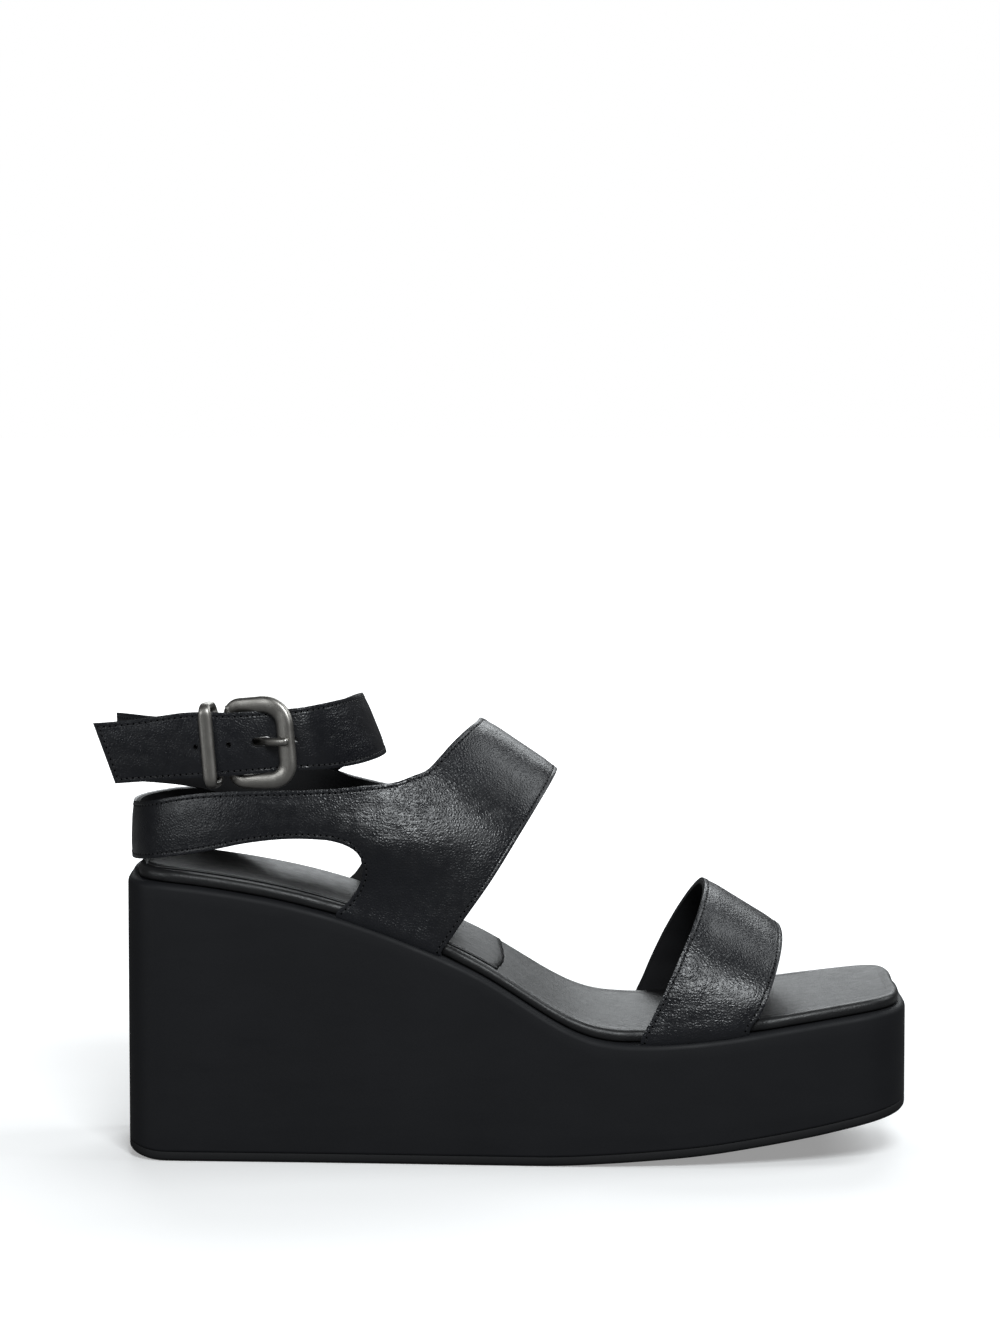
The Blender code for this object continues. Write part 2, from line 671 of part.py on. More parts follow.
def spiral():
    """Heel strap and ankle strap: one strip, twice round the ankle from the outer junction to its tip."""
    knots = [(-30, -36.6, 113.6, 0, 23), (-43.6, -36.9, 113.7, 0, 21.6), (-55, -36.8, 114, 0, 17.6),
             (-72, -35.8, 113.9, 2, 15.6), (-88, -33.6, 112.8, 3, 16.8), (-104, -29, 110.3, 3, 19),
             (-121, -19, 106.8, 2, 18.8), (-127.7, 0, 105, 2, 18.6), (-126.2, 16, 105.6, 2, 18),
             (-117, 28.5, 106, 4, 18.6), (-104, 33.4, 106.4, 7, 19.6), (-92, 36, 110.4, 9, 20.2),
             (-80, 37.2, 118, 10, 20.2), (-70, 37.2, 125.8, 12, 20.2), (-61, 34.6, 132.2, 16, 20.2),
             (-53, 25, 137, 20, 20.2), (-48, 10, 139.6, 22, 20.8), (-48.3, -8, 140.1, 20, 21.4),
             (-54.5, -24, 139.7, 12, 21.8), (-63, -33.2, 139, 4, 21.2)]
    for distance in (-4, 0, 3, 6, 9, 12, 15, 18, 21, 30, 42, 54, 64):
        swell = math.exp(-((distance - SWELL_DISTANCE) / SWELL_REACH) ** 2)
        place = in_buckle(distance, strap_rise(distance), SWELL_LIFT * swell)
        knots.append((*place, buckle_up(), ANKLE_STRAP_WIDTH + SWELL_WIDTH * swell))
    return Ribbon(knots)


def buckle_strap_path():
    """From the return leg under the bar, round the bar, round the heel and to the inner junction."""
    places = [(33, -3.95), (28, -3.95), (24, -4.0), (21.5, -5.0)]
    for angle in (270, 225, 180, 135, 90):
        turn = math.radians(angle)
        places.append((BAR_DISTANCE + WRAP_RADIUS * math.cos(turn), BAR_DEPTH + WRAP_RADIUS * math.sin(turn)))
    places += [(23, -0.45), (29, -0.45), (35, -0.45)]
    knots = [(*in_buckle(distance, out), buckle_up(), 19) for distance, out in places]
    knots += [(-118, -24.6, 134.5, 0, 20.4), (-128, -13, 133.4, -2, 22), (-132, 0, 132.2, -3, 22.4),
              (-124.5, 13, 130, 0, 22), (-109, 24, 126.4, 2, 20.8), (-91, 29.8, 121, 3, 20),
              (-75, 31.8, 115.4, 3, 19.6), (-60, 32.4, 110.6, 1, 18.6), (-45, 33.2, 106.9, 0, 18.4),
              (-32, 33.4, 104.4, 0, 18.4)]
    return Ribbon(knots)


def hole_cutter(name, ribbon, distance):
    place = ribbon.matrix(ribbon.nearest(in_buckle(distance, strap_rise(distance))))
    return as_cutter(cylinder(name, HOLE_RADIUS, 11, place, sides=14))


def make_harness_straps():
    strip = spiral()
    heel_end = strip.nearest(np.array([-103, 33.6, 103.8]))
    flex = strip.nearest(in_buckle(TIP_HINGE_DISTANCE, strap_rise(TIP_HINGE_DISTANCE)))
    root = at_junction(strip, OUTER_JUNCTION, 2.0, 40.0)
    tip_end = strip.length - 4.0
    leather_pair("heel_strap", strip.rows(root, lambda v: heel_end))

    middle = (PRONG_SLOT[0] + PRONG_SLOT[1]) / 2
    slot_place = buckle_axes() @ Matrix.Translation((-middle * MM, 0, 0))
    slot = as_cutter(box("prong_slot", (PRONG_SLOT[1] - PRONG_SLOT[0], PRONG_SLOT_WIDTH, 14), slot_place))
    holes = [hole_cutter("strap_hole", strip, distance) for distance in STRAP_HOLES]
    leather_pair("ankle_strap", strip.rows(lambda v: heel_end + GAP, lambda v: flex), [slot] + holes)
    leather_pair("strap_tip", strip.rows(lambda v: flex + GAP, lambda v: tip_end + 0.8 + 2.8 * v))

    band = buckle_strap_path()
    inner_root = at_junction(band, INNER_JUNCTION, band.length - 32, band.length - 0.5)
    rows = band.rows(lambda v: 0.0, inner_root)
    outer = layer("buckle_strap_outer", sheet("buckle_strap_outer", rows), OUTER_LEATHER, BLACK_LEATHER)
    past_bar = band.nearest(in_buckle(LINING_START, -0.45))
    lining_rows = [row for row in rows if band.nearest(row[1]) > past_bar]
    middle = (LOOP_SLOT[0] + LOOP_SLOT[1]) / 2
    loop_place = buckle_axes() @ Matrix.Translation((-middle * MM, 0, -3.0 * MM))
    loop_slot = box("loop_slot", (LOOP_SLOT[1] - LOOP_SLOT[0], LOOP_SLOT_WIDTH, 9), loop_place)
    boolean(outer, as_cutter(loop_slot))
    layer("buckle_strap_lining", sheet("buckle_strap_lining", lining_rows), LINING_LEATHER, LINING)


# ---------------------------------------------------------------- buckle

ACROSS = Matrix.Rotation(math.radians(90), 4, "X")


def bar_axes():
    return buckle_axes() @ Matrix.Translation((-BAR_DISTANCE * MM, 0, BAR_DEPTH * MM))


def make_buckle_frame():
    """Ring with a round bar at the back; its origin is on the bar's axis."""
    reach = math.hypot(BAR_DISTANCE, FRONT_BAR_RISE)
    tilt = math.atan2(FRONT_BAR_RISE, BAR_DISTANCE)
    rear, front = -2.7, reach + FRAME_FRONT_BAR / 2
    outline = [(x + (rear + front) / 2, y) for x, y in rounded_rectangle(front - rear, FRAME_HEIGHT, 6.5)]
    place = bar_axes() @ Matrix.Rotation(-tilt, 4, "Y")
    frame = prism("buckle_frame", [outline], FRAME_THICKNESS, place)
    opening_end = reach - FRAME_FRONT_BAR / 2
    opening = [(x + opening_end - 20, y) for x, y in rounded_rectangle(40, FRAME_OPENING, 0.8)]
    boolean(frame, as_cutter(prism("frame_opening", [opening], 12, place)))
    bar = cylinder("frame_bar", BAR_RADIUS, FRAME_OPENING + 3, place @ ACROSS)
    boolean(frame, as_cutter(bar), "UNION")
    return finish(frame, AGED_NICKEL)


def make_prong():
    """Bent pin on a ring round the bar, rising through the strap to rest on the front bar."""
    curve = bpy.data.curves.new("prong_pin", "CURVE")
    curve.dimensions = "3D"
    curve.bevel_depth = PRONG_RADIUS * MM
    curve.bevel_resolution = 2
    curve.use_fill_caps = True
    path = smooth_path([(1.95, 0.2), (5, 0.1), (7.4, 0.7), (9.4, 1.9), (12, 4.2), (14.5, 6.5), (16.5, 7.8),
                        (18.5, 8.5), (20.6, 8.8)], 17)
    spline = curve.splines.new("POLY")
    spline.points.add(len(path) - 1)
    for point, (x, z) in zip(spline.points, path):
        point.co = (x * MM, 0, z * MM, 1)
    guide = bpy.data.objects.new("prong_pin", curve)
    bpy.context.scene.collection.objects.link(guide)
    bpy.context.view_layer.update()
    pin_mesh = bpy.data.meshes.new_from_object(guide.evaluated_get(bpy.context.evaluated_depsgraph_get()))
    bpy.data.objects.remove(guide, do_unlink=True)
    weld(pin_mesh)
    pin = bpy.data.objects.new("prong_pin", pin_mesh)
    pin.matrix_world = bar_axes()
    ring = cylinder("prong", PRONG_RING_RADIUS, 4.0, bar_axes() @ ACROSS, sides=20)
    boolean(ring, as_cutter(pin), "UNION")
    boolean(ring, as_cutter(cylinder("prong_bore", BAR_RADIUS + GAP, 8, bar_axes() @ ACROSS, sides=20)))
    return finish(ring, AGED_NICKEL)


def make_keeper():
    """Rectangular metal loop round both layers of strap."""
    high, deep = KEEPER_OPENING
    inner = rounded_rectangle(high, deep, 1.2, 3)
    outer = rounded_rectangle(high + 2 * KEEPER_WALL, deep + 2 * KEEPER_WALL, 2.4, 3)
    centre = Matrix.Translation((-KEEPER_DISTANCE * MM, 0, KEEPER_DEPTH * MM))
    turn = Matrix(((0, 0, 1, 0), (1, 0, 0, 0), (0, 1, 0, 0), (0, 0, 0, 1)))
    keeper = prism("keeper_loop", [outer, inner], KEEPER_WIDTH, buckle_axes() @ centre @ turn)
    return finish(keeper, AGED_NICKEL)


clear_scene()
PARTS = new_collection("wedge_sandal")
CUTTERS = new_collection("cutters")
make_outsole()
make_wedge()
make_board()
make_shank()
for rivet_name, rivet_x in RIVET_POSITIONS.items():
    make_rivet(rivet_name, rivet_x)
make_footbed()
make_toe_strap()
make_instep_strap()
make_harness_straps()
make_buckle_frame()
make_prong()
make_keeper()
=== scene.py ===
"""Looks of the wedge sandal: leather, stitching, foam wedge and aged metal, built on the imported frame.

Lengths are in millimetres until geometry is made. The row frame has +X to the toe, -Y to the
outer side with the buckle and +Z up, with the origin on the ground under the middle of the sole.
"""
import json
import math

import bmesh
import bpy
import numpy as np
from mathutils import Matrix, Vector
from mathutils.bvhtree import BVHTree
from mathutils.geometry import delaunay_2d_cdt
from mathutils.kdtree import KDTree


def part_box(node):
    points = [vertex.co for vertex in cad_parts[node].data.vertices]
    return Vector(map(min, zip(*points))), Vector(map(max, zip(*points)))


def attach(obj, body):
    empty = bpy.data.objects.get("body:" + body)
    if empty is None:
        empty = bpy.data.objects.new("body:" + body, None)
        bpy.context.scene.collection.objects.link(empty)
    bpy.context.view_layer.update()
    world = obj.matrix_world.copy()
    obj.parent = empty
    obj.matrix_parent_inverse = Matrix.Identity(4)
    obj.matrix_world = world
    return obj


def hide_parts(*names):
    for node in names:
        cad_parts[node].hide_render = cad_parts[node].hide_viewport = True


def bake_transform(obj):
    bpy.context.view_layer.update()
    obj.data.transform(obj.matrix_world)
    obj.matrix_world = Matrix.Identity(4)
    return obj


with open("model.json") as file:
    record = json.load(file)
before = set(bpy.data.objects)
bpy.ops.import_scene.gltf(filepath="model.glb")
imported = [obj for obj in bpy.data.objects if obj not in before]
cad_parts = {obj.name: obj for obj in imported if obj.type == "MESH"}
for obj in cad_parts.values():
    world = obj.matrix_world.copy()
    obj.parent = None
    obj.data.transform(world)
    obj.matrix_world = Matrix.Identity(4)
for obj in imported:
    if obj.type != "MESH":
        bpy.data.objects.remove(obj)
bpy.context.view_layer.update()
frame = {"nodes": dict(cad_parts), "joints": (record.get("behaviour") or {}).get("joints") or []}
NODES = frame["nodes"]
JOINTS = {joint["name"]: joint for joint in frame["joints"]}
MM = 0.001

OUTER_LEATHER = (0.0, 1.0)
LINING_LEATHER = (1.04, 2.2)
EDGE_ROUNDING = 0.32
ROW_STEP = 1.7
STITCH_INSET = 1.45
STITCH_PITCH = 2.0
STITCH_LENGTH = 1.35
STITCH_RADIUS = 0.2
HOLE_RADIUS = 0.4
LASTED_END = 10.5
PUFF_HEIGHT = 0.32
FOLD_HEIGHT = 0.14
PICTURE_HEIGHT = 1334
MM_PER_PIXEL = 0.3325


# ---------------------------------------------------------------- interpolation

def unit(vectors):
    """The vectors scaled to length one."""
    return vectors / np.maximum(np.linalg.norm(vectors, axis=-1, keepdims=True), 1e-9)


def travelled(points):
    """Distance along a polyline at each of its points."""
    return np.concatenate([[0.0], np.cumsum(np.linalg.norm(np.diff(points, axis=0), axis=1))])


def smooth_between(knots, values, at):
    """Cubic interpolation, along the first axis, of values given at rising knots."""
    at = np.atleast_1d(np.asarray(at, dtype=float))
    slopes = np.gradient(values, knots, axis=0)
    i = np.clip(np.searchsorted(knots, at, side="right") - 1, 0, len(knots) - 2)
    shape = (-1,) + (1,) * (values.ndim - 1)
    span = (knots[i + 1] - knots[i]).reshape(shape)
    u = (at - knots[i]).reshape(shape) / span
    start = (2 * u ** 3 - 3 * u ** 2 + 1) * values[i] + (u ** 3 - 2 * u ** 2 + u) * span * slopes[i]
    end = (3 * u ** 2 - 2 * u ** 3) * values[i + 1] + (u ** 3 - u ** 2) * span * slopes[i + 1]
    return start + end


def resample(points, step):
    """Points along a polyline about one step apart."""
    along = travelled(points)
    count = max(2, int(round(along[-1] / step)) + 1)
    even = np.linspace(0, along[-1], count)
    return np.column_stack([np.interp(even, along, points[:, k]) for k in range(points.shape[1])])


def stations(start, end, step):
    """Evenly spaced distances from start to end, about a step apart."""
    return np.linspace(start, end, max(2, int(round((end - start) / step)) + 1))


def smoothed_ring(points, rounds):
    """A closed ring of points, each averaged with its neighbours."""
    for _ in range(rounds):
        points = (np.roll(points, 1, axis=0) + 2 * points + np.roll(points, -1, axis=0)) / 4
    return points


def smoothed_line(points, rounds):
    """A line of points between fixed ends, each averaged with its neighbours."""
    for _ in range(rounds):
        points[1:-1] = (points[:-2] + 2 * points[1:-1] + points[2:]) / 4
    return points


def nearest_finder(points):
    """Search tree over points."""
    finder = KDTree(len(points))
    for i, point in enumerate(points):
        finder.insert(point, i)
    finder.balance()
    return finder


def smooth_step(value):
    """Eases from 0 to 1 as the value goes from 0 to 1."""
    value = np.clip(value, 0.0, 1.0)
    return value * value * (3 - 2 * value)


# ---------------------------------------------------------------- reading the frame

def cad_work_mesh(node):
    """Welded copy of a CAD node's mesh, in millimetres."""
    work = bmesh.new()
    work.from_mesh(NODES[node].data)
    bmesh.ops.scale(work, vec=(1 / MM,) * 3, verts=work.verts)
    bmesh.ops.remove_doubles(work, verts=work.verts, dist=1e-3)
    work.faces.ensure_lookup_table()
    return work


def smooth_regions(work, limit=math.radians(50)):
    """Sets of faces that meet at less than the limit angle, largest area first."""
    seen, regions = set(), []
    for seed in work.faces:
        if seed in seen:
            continue
        seen.add(seed)
        region, queue = [], [seed]
        while queue:
            face = queue.pop()
            region.append(face)
            for edge in face.edges:
                for other in edge.link_faces:
                    if other not in seen and face.normal.angle(other.normal, 0.0) < limit:
                        seen.add(other)
                        queue.append(other)
        regions.append(region)
    return sorted(regions, key=lambda faces: -sum(f.calc_area() for f in faces))


def walk(links, first, used):
    """What is met when following links from the first one, each vertex once."""
    path, here = [first], first
    used.add(first)
    while True:
        onward = [v for v in links[here] if v not in used]
        if not onward:
            return path
        here = onward[0]
        used.add(here)
        path.append(here)


def outline_loop(region):
    """Ordered vertices of the longest boundary of a region of faces."""
    inside = set(region)
    links = {}
    for face in region:
        for edge in face.edges:
            if sum(other in inside for other in edge.link_faces) == 1:
                for a, b in (edge.verts, reversed(edge.verts)):
                    links.setdefault(a, []).append(b)
    loops, used = [], set()
    for first in links:
        if first not in used:
            loops.append(np.array([v.co for v in walk(links, first, used)]))
    return max(loops, key=lambda points: travelled(points)[-1])


def without_straight_points(path, count):
    """The path with the points that lie straight between their neighbours dropped until count are left."""
    while len(path) > count:
        ahead, behind = unit(path[2:] - path[1:-1]), unit(path[1:-1] - path[:-2])
        path = np.delete(path, 1 + int(np.argmax(np.sum(ahead * behind, axis=1))), axis=0)
    return path


def strap_edges(node, lining, start, upwards, run=None):
    """The two long edges of a strap's outer face as matching rows, from the end nearest start.

    upwards points from the first edge to the second; run is the strap's direction when its length
    doesn't tell the long edges from the ends.
    """
    work = cad_work_mesh(node)
    under = cad_work_mesh(lining)
    tree = BVHTree.FromBMesh(under)

    def clearance(region):
        return np.mean([tree.find_nearest(f.calc_center_median())[3] for f in region])

    face = max(smooth_regions(work)[:2], key=clearance)
    loop = outline_loop(face)
    inner_points = np.array([v.co for v in {v for f in face for v in f.verts}])
    before, after = loop - np.roll(loop, 1, axis=0), np.roll(loop, -1, axis=0) - loop
    straightness = np.sum(unit(before) * unit(after), axis=1)
    corners = sorted(np.argsort(straightness)[:4])
    sides = []
    for a, b in zip(corners, corners[1:] + [corners[0] + len(loop)]):
        sides.append(np.array([loop[k % len(loop)] for k in range(a, b + 1)]))
    if run is None:
        lengths = [travelled(side)[-1] for side in sides]
    else:
        lengths = [abs(float(np.dot(unit(side[-1] - side[0]), run))) for side in sides]
    pair = sides[::2] if lengths[0] + lengths[2] > lengths[1] + lengths[3] else sides[1::2]
    count = min(len(side) for side in pair)
    pair = [without_straight_points(side, count) for side in pair]
    pair[1] = pair[1][::-1]
    pair.sort(key=lambda edge: float(np.mean(edge @ np.array(upwards))))
    if np.linalg.norm(pair[0][0] - start) > np.linalg.norm(pair[0][-1] - start):
        pair = [edge[::-1] for edge in pair]
    work.free()
    under.free()
    return pair[0], pair[1], inner_points


class Sheet:
    """Outer face of a strap: rows along it, columns across it."""

    def __init__(self, grid):
        self.grid = grid
        self.along = travelled(grid[:, grid.shape[1] // 2])
        self.length = self.along[-1]

    def at(self, distances, shares):
        """Points at every distance along and every share across."""
        rows = smooth_between(self.along, self.grid, distances)
        columns = np.linspace(0, 1, self.grid.shape[1])
        return smooth_between(columns, rows.transpose(1, 0, 2), shares).transpose(1, 0, 2)


def ankle_strip(node, start, run=None):
    """Rows of a harness strap, from lower to upper edge."""
    low, high, _ = strap_edges(node + "_outer", node + "_lining", start, (0, 0, 1), run)
    return np.stack([low, high], axis=1)


def lasted_sheet(node, start):
    """Sheet of a strap whose ends are fixed in the sole, from rear to front edge."""
    rear, front, points = strap_edges(node + "_outer", node + "_lining", start, (1, 0, 0))
    finder = nearest_finder(points)
    grid = []
    for a, b in zip(rear, front):
        grid.append([points[finder.find(Vector((1 - c) * a + c * b))[1]] for c in np.linspace(0, 1, 5)])
    return Sheet(np.array(grid))


def local_axes():
    """Columns forwards along the buckled strap, up across it and outwards; the origin is on the bar."""
    up = -Vector(JOINTS["frame_swing"]["axis"])
    forward = -Vector(JOINTS["keeper_slide"]["axis"])
    out = forward.cross(up).normalized()
    turn = Matrix((forward, up, out)).transposed().to_4x4()
    return Matrix.Translation(Vector(JOINTS["frame_swing"]["pos_m"])) @ turn


BUCKLE_AXES = local_axes()


def local_points(node):
    """A CAD node's vertices in the buckle's axes, in millimetres."""
    inverse = BUCKLE_AXES.inverted()
    return np.array([inverse @ v.co for v in NODES[node].data.vertices]) / MM


# ---------------------------------------------------------------- mesh helpers

def add_object(name, mesh):
    obj = bpy.data.objects.new(name, mesh)
    bpy.context.scene.collection.objects.link(obj)
    return obj


def mesh_from(name, points, faces):
    mesh = bpy.data.meshes.new(name)
    mesh.from_pydata([tuple(p * MM) for p in points], [], faces)
    mesh.validate()
    mesh.shade_smooth()
    return mesh


def grid_faces(rows, columns, index):
    """Quads of a grid whose vertex at a row and column has the index that index gives."""
    return [(index(r, c), index(r, c + 1), index(r + 1, c + 1), index(r + 1, c))
            for r in range(rows - 1) for c in range(columns - 1)]


def grid_mesh(name, grid):
    """Mesh through a grid of points, rows by columns."""
    rows, columns = grid.shape[:2]
    return mesh_from(name, grid.reshape(-1, 3), grid_faces(rows, columns, lambda r, c: r * columns + c))


def mesh_of(work, name):
    """Smooth mesh from a bmesh, with its faces turned outwards."""
    bmesh.ops.recalc_face_normals(work, faces=work.faces)
    mesh = bpy.data.meshes.new(name)
    work.to_mesh(mesh)
    work.free()
    mesh.shade_smooth()
    return mesh


def put_attribute(mesh, name, values):
    attribute = mesh.attributes.get(name) or mesh.attributes.new(name, "FLOAT", "POINT")
    attribute.data.foreach_set("value", np.asarray(values, dtype=np.float32))


def apply_modifiers(obj):
    """Bakes the object's modifiers into its mesh."""
    bpy.context.view_layer.update()
    evaluated = obj.evaluated_get(bpy.context.evaluated_depsgraph_get())
    mesh = bpy.data.meshes.new_from_object(evaluated, preserve_all_data_layers=True,
                                           depsgraph=bpy.context.evaluated_depsgraph_get())
    obj.modifiers.clear()
    obj.data = mesh
    return obj


def vertex_array(mesh, name):
    """A vector of every vertex of a mesh, such as its place or normal."""
    values = np.empty(len(mesh.vertices) * 3)
    mesh.vertices.foreach_get(name, values)
    return values.reshape(-1, 3)


# ---------------------------------------------------------------- materials

class Nodes:
    """Short way to write a node tree."""

    def __init__(self, name):
        self.material = bpy.data.materials.new(name)
        self.material.use_nodes = True
        self.tree = self.material.node_tree
        self.shader = self.tree.nodes["Principled BSDF"]
        self.place = self.add("ShaderNodeTexCoord").outputs["Object"]

    def add(self, kind, **inputs):
        node = self.tree.nodes.new(kind)
        for key, value in inputs.items():
            self.set(node, key.replace("_", " "), value)
        return node

    def set(self, node, key, value):
        if isinstance(value, bpy.types.NodeSocket):
            self.tree.links.new(value, node.inputs[key])
        else:
            node.inputs[key].default_value = value

    def maths(self, operation, a, b=0.0):
        node = self.tree.nodes.new("ShaderNodeMath")
        node.operation = operation
        self.set(node, 0, a)
        self.set(node, 1, b)
        return node.outputs[0]

    def noise(self, scale, detail=4.0, roughness=0.6, place=None, distortion=0.0):
        node = self.add("ShaderNodeTexNoise", Scale=scale, Detail=detail, Roughness=roughness,
                        Distortion=distortion, Vector=place or self.place)
        return node.outputs["Fac"]

    def cells(self, scale, place=None):
        """Distance to the nearest edge between irregular cells."""
        node = self.add("ShaderNodeTexVoronoi", Scale=scale, Vector=place or self.place)
        node.feature = "DISTANCE_TO_EDGE"
        return node.outputs["Distance"]

    def stretch(self, factors, turn=0.0):
        node = self.add("ShaderNodeMapping", Vector=self.place, Scale=factors, Rotation=(0.0, turn, 0.0))
        return node.outputs["Vector"]

    def warp(self, amount, scale):
        """Object coordinates shaken by noise, so that cells aren't regular."""
        noise = self.add("ShaderNodeTexNoise", Scale=scale, Detail=2.0, Vector=self.place)
        centred = self.tree.nodes.new("ShaderNodeVectorMath")
        centred.operation = "MULTIPLY_ADD"
        self.set(centred, 0, noise.outputs["Color"])
        centred.inputs[1].default_value = (amount,) * 3
        self.set(centred, 2, self.place)
        return centred.outputs[0]

    def ramp(self, value, low, high, start=0.0, end=1.0, curve="LINEAR"):
        node = self.add("ShaderNodeMapRange", Value=value)
        node.interpolation_type = curve
        for key, number in (("From Min", low), ("From Max", high), ("To Min", start), ("To Max", end)):
            self.set(node, key, number)
        node.clamp = True
        return node.outputs["Result"]

    def mix_colour(self, factor, first, second):
        node = self.tree.nodes.new("ShaderNodeMix")
        node.data_type = "RGBA"
        self.set(node, "Factor", factor)
        for socket, value in ((node.inputs[6], first), (node.inputs[7], second)):
            if isinstance(value, bpy.types.NodeSocket):
                self.tree.links.new(value, socket)
            else:
                socket.default_value = (*value, 1.0)
        return node.outputs[2]

    def bump(self, height, distance, strength=1.0, under=None):
        node = self.add("ShaderNodeBump", Height=height, Distance=distance, Strength=strength)
        if under is not None:
            self.set(node, "Normal", under)
        return node.outputs["Normal"]

    def attribute(self, name):
        node = self.tree.nodes.new("ShaderNodeAttribute")
        node.attribute_name = name
        return node.outputs["Fac"]

    def finish(self, **inputs):
        for key, value in inputs.items():
            if key == "Base_Color" and not isinstance(value, bpy.types.NodeSocket):
                value = (*value, 1.0)
            self.set(self.shader, key.replace("_", " "), value)
        return self.material


def leather_material(name, colour, roughness, grain=1.0, stitched=True):
    """Pebbled leather: small cells with pores, fine creases where it bends and a pressed, holed seam line."""
    n = Nodes(name)
    pebbles = n.ramp(n.cells(1050, place=n.warp(0.0004, 500)), 0.0, 0.42, curve="SMOOTHSTEP")
    patches = n.noise(42, 3.0, 0.55)
    creased = n.attribute("crease")
    normal = n.bump(n.noise(90, 3.0, 0.5), 0.0010, 0.25)
    long_folds = n.noise(400, 3.0, 0.5, place=n.stretch((0.35, 0.7, 1.6), math.radians(30)), distortion=0.5)
    fold_depth = n.maths("ADD", n.maths("MULTIPLY", creased, 0.8), n.ramp(patches, 0.42, 0.7, 0.06, 0.25))
    normal = n.bump(long_folds, 0.00034, fold_depth, normal)
    pebbled = n.ramp(patches, 0.34, 0.66, 0.4 * grain, 0.8 * grain)
    depth = n.maths("ADD", pebbled, n.maths("MULTIPLY", creased, 0.4))
    normal = n.bump(pebbles, 0.00008, depth, normal)
    normal = n.bump(n.noise(4200, 2.0, 0.6), 0.00002, 0.7, normal)
    if stitched:
        away = n.maths("ABSOLUTE", n.maths("SUBTRACT", n.attribute("edge_mm"), STITCH_INSET))
        normal = n.bump(n.ramp(away, 0.0, 0.55), 0.00009, 1.0, normal)
    shade = n.mix_colour(n.ramp(patches, 0.3, 0.75), colour, tuple(c * 1.5 for c in colour))
    rough = n.ramp(n.noise(260, 4.0, 0.6), 0.3, 0.7, roughness - 0.05, roughness + 0.08)
    return n.finish(Base_Color=shade, Roughness=rough, Normal=normal, Specular_IOR_Level=0.48)


def lining_material():
    n = Nodes("lining_leather")
    normal = n.bump(n.noise(1500, 4.0, 0.7), 0.00006, 0.7)
    shade = n.mix_colour(n.noise(60), (0.007, 0.007, 0.008), (0.012, 0.012, 0.013))
    return n.finish(Base_Color=shade, Roughness=0.66, Normal=normal, Specular_IOR_Level=0.25)


def thread_material():
    n = Nodes("black_thread")
    twist = n.tree.nodes.new("ShaderNodeTexWave")
    n.set(twist, "Scale", 1300.0)
    n.set(twist, "Vector", n.place)
    normal = n.bump(twist.outputs["Fac"], 0.00006, 0.8)
    hole_painted_shade = n.attribute("needle_hole_painted_shade")
    # Painted shade: the needle hole discs get a near black colour and no shine, standing for the shadow
    # inside the hole.
    shade = n.mix_colour(hole_painted_shade, (0.013, 0.013, 0.015), (0.0002, 0.0002, 0.0002))
    shine = n.ramp(hole_painted_shade, 0.0, 1.0, 0.4, 0.0)
    return n.finish(Base_Color=shade, Roughness=0.55, Normal=normal, Specular_IOR_Level=shine)


def wedge_material():
    """Matt microcellular foam with faint mould marks and scuffs."""
    n = Nodes("foam_wedge")
    pores = n.noise(2600, 3.0, 0.65)
    swirl = n.noise(45, 3.0, 0.5)
    marks = n.noise(30, 5.0, 0.7, place=n.stretch((1.0, 1.0, 6.0)))
    normal = n.bump(pores, 0.00004, 0.7)
    normal = n.bump(swirl, 0.0004, 0.25, normal)
    shade = n.mix_colour(n.ramp(swirl, 0.3, 0.7), (0.0072, 0.0075, 0.0090), (0.0088, 0.0091, 0.0108))
    rough = n.ramp(marks, 0.3, 0.75, 0.52, 0.68)
    return n.finish(Base_Color=shade, Roughness=rough, Normal=normal, Specular_IOR_Level=0.22)


def outsole_material():
    n = Nodes("outsole_rubber")
    ribs = n.tree.nodes.new("ShaderNodeTexWave")
    n.set(ribs, "Scale", 95.0)
    n.set(ribs, "Distortion", 0.4)
    n.set(ribs, "Vector", n.place)
    normal = n.bump(n.noise(1800, 3.0, 0.7), 0.00005, 0.8)
    normal = n.bump(ribs.outputs["Fac"], 0.0002, 0.25, normal)
    shade = n.mix_colour(n.noise(70), (0.0080, 0.0080, 0.0088), (0.0110, 0.0110, 0.0120))
    return n.finish(Base_Color=shade, Roughness=0.68, Normal=normal, Specular_IOR_Level=0.22)


def metal_material():
    """Aged nickel: brushed, with dull patches and fine scratches."""
    n = Nodes("aged_nickel")
    patches = n.noise(170, 6.0, 0.68)
    scratches = n.noise(900, 3.0, 0.6, place=n.stretch((0.25, 0.25, 1.0)))
    worn = n.add("ShaderNodeNewGeometry").outputs["Pointiness"]
    edge = n.ramp(worn, 0.47, 0.58)
    dull = n.mix_colour(n.ramp(patches, 0.32, 0.68), (0.085, 0.079, 0.071), (0.27, 0.255, 0.235))
    shade = n.mix_colour(edge, dull, (0.42, 0.405, 0.38))
    normal = n.bump(scratches, 0.00006, 0.55)
    normal = n.bump(patches, 0.00012, 0.4, normal)
    rough = n.ramp(patches, 0.3, 0.7, 0.50, 0.33)
    return n.finish(Base_Color=shade, Metallic=1.0, Roughness=rough, Normal=normal)


def plain_material(name, colour, roughness, metallic=0.0):
    """Even material with slight grain, for pieces hidden in the sole."""
    n = Nodes(name)
    normal = n.bump(n.noise(900, 4.0, 0.7), 0.0001, 0.6)
    shade = n.mix_colour(n.noise(900 / 8), colour, tuple(c * 1.35 for c in colour))
    return n.finish(Base_Color=shade, Roughness=roughness, Metallic=metallic, Normal=normal)


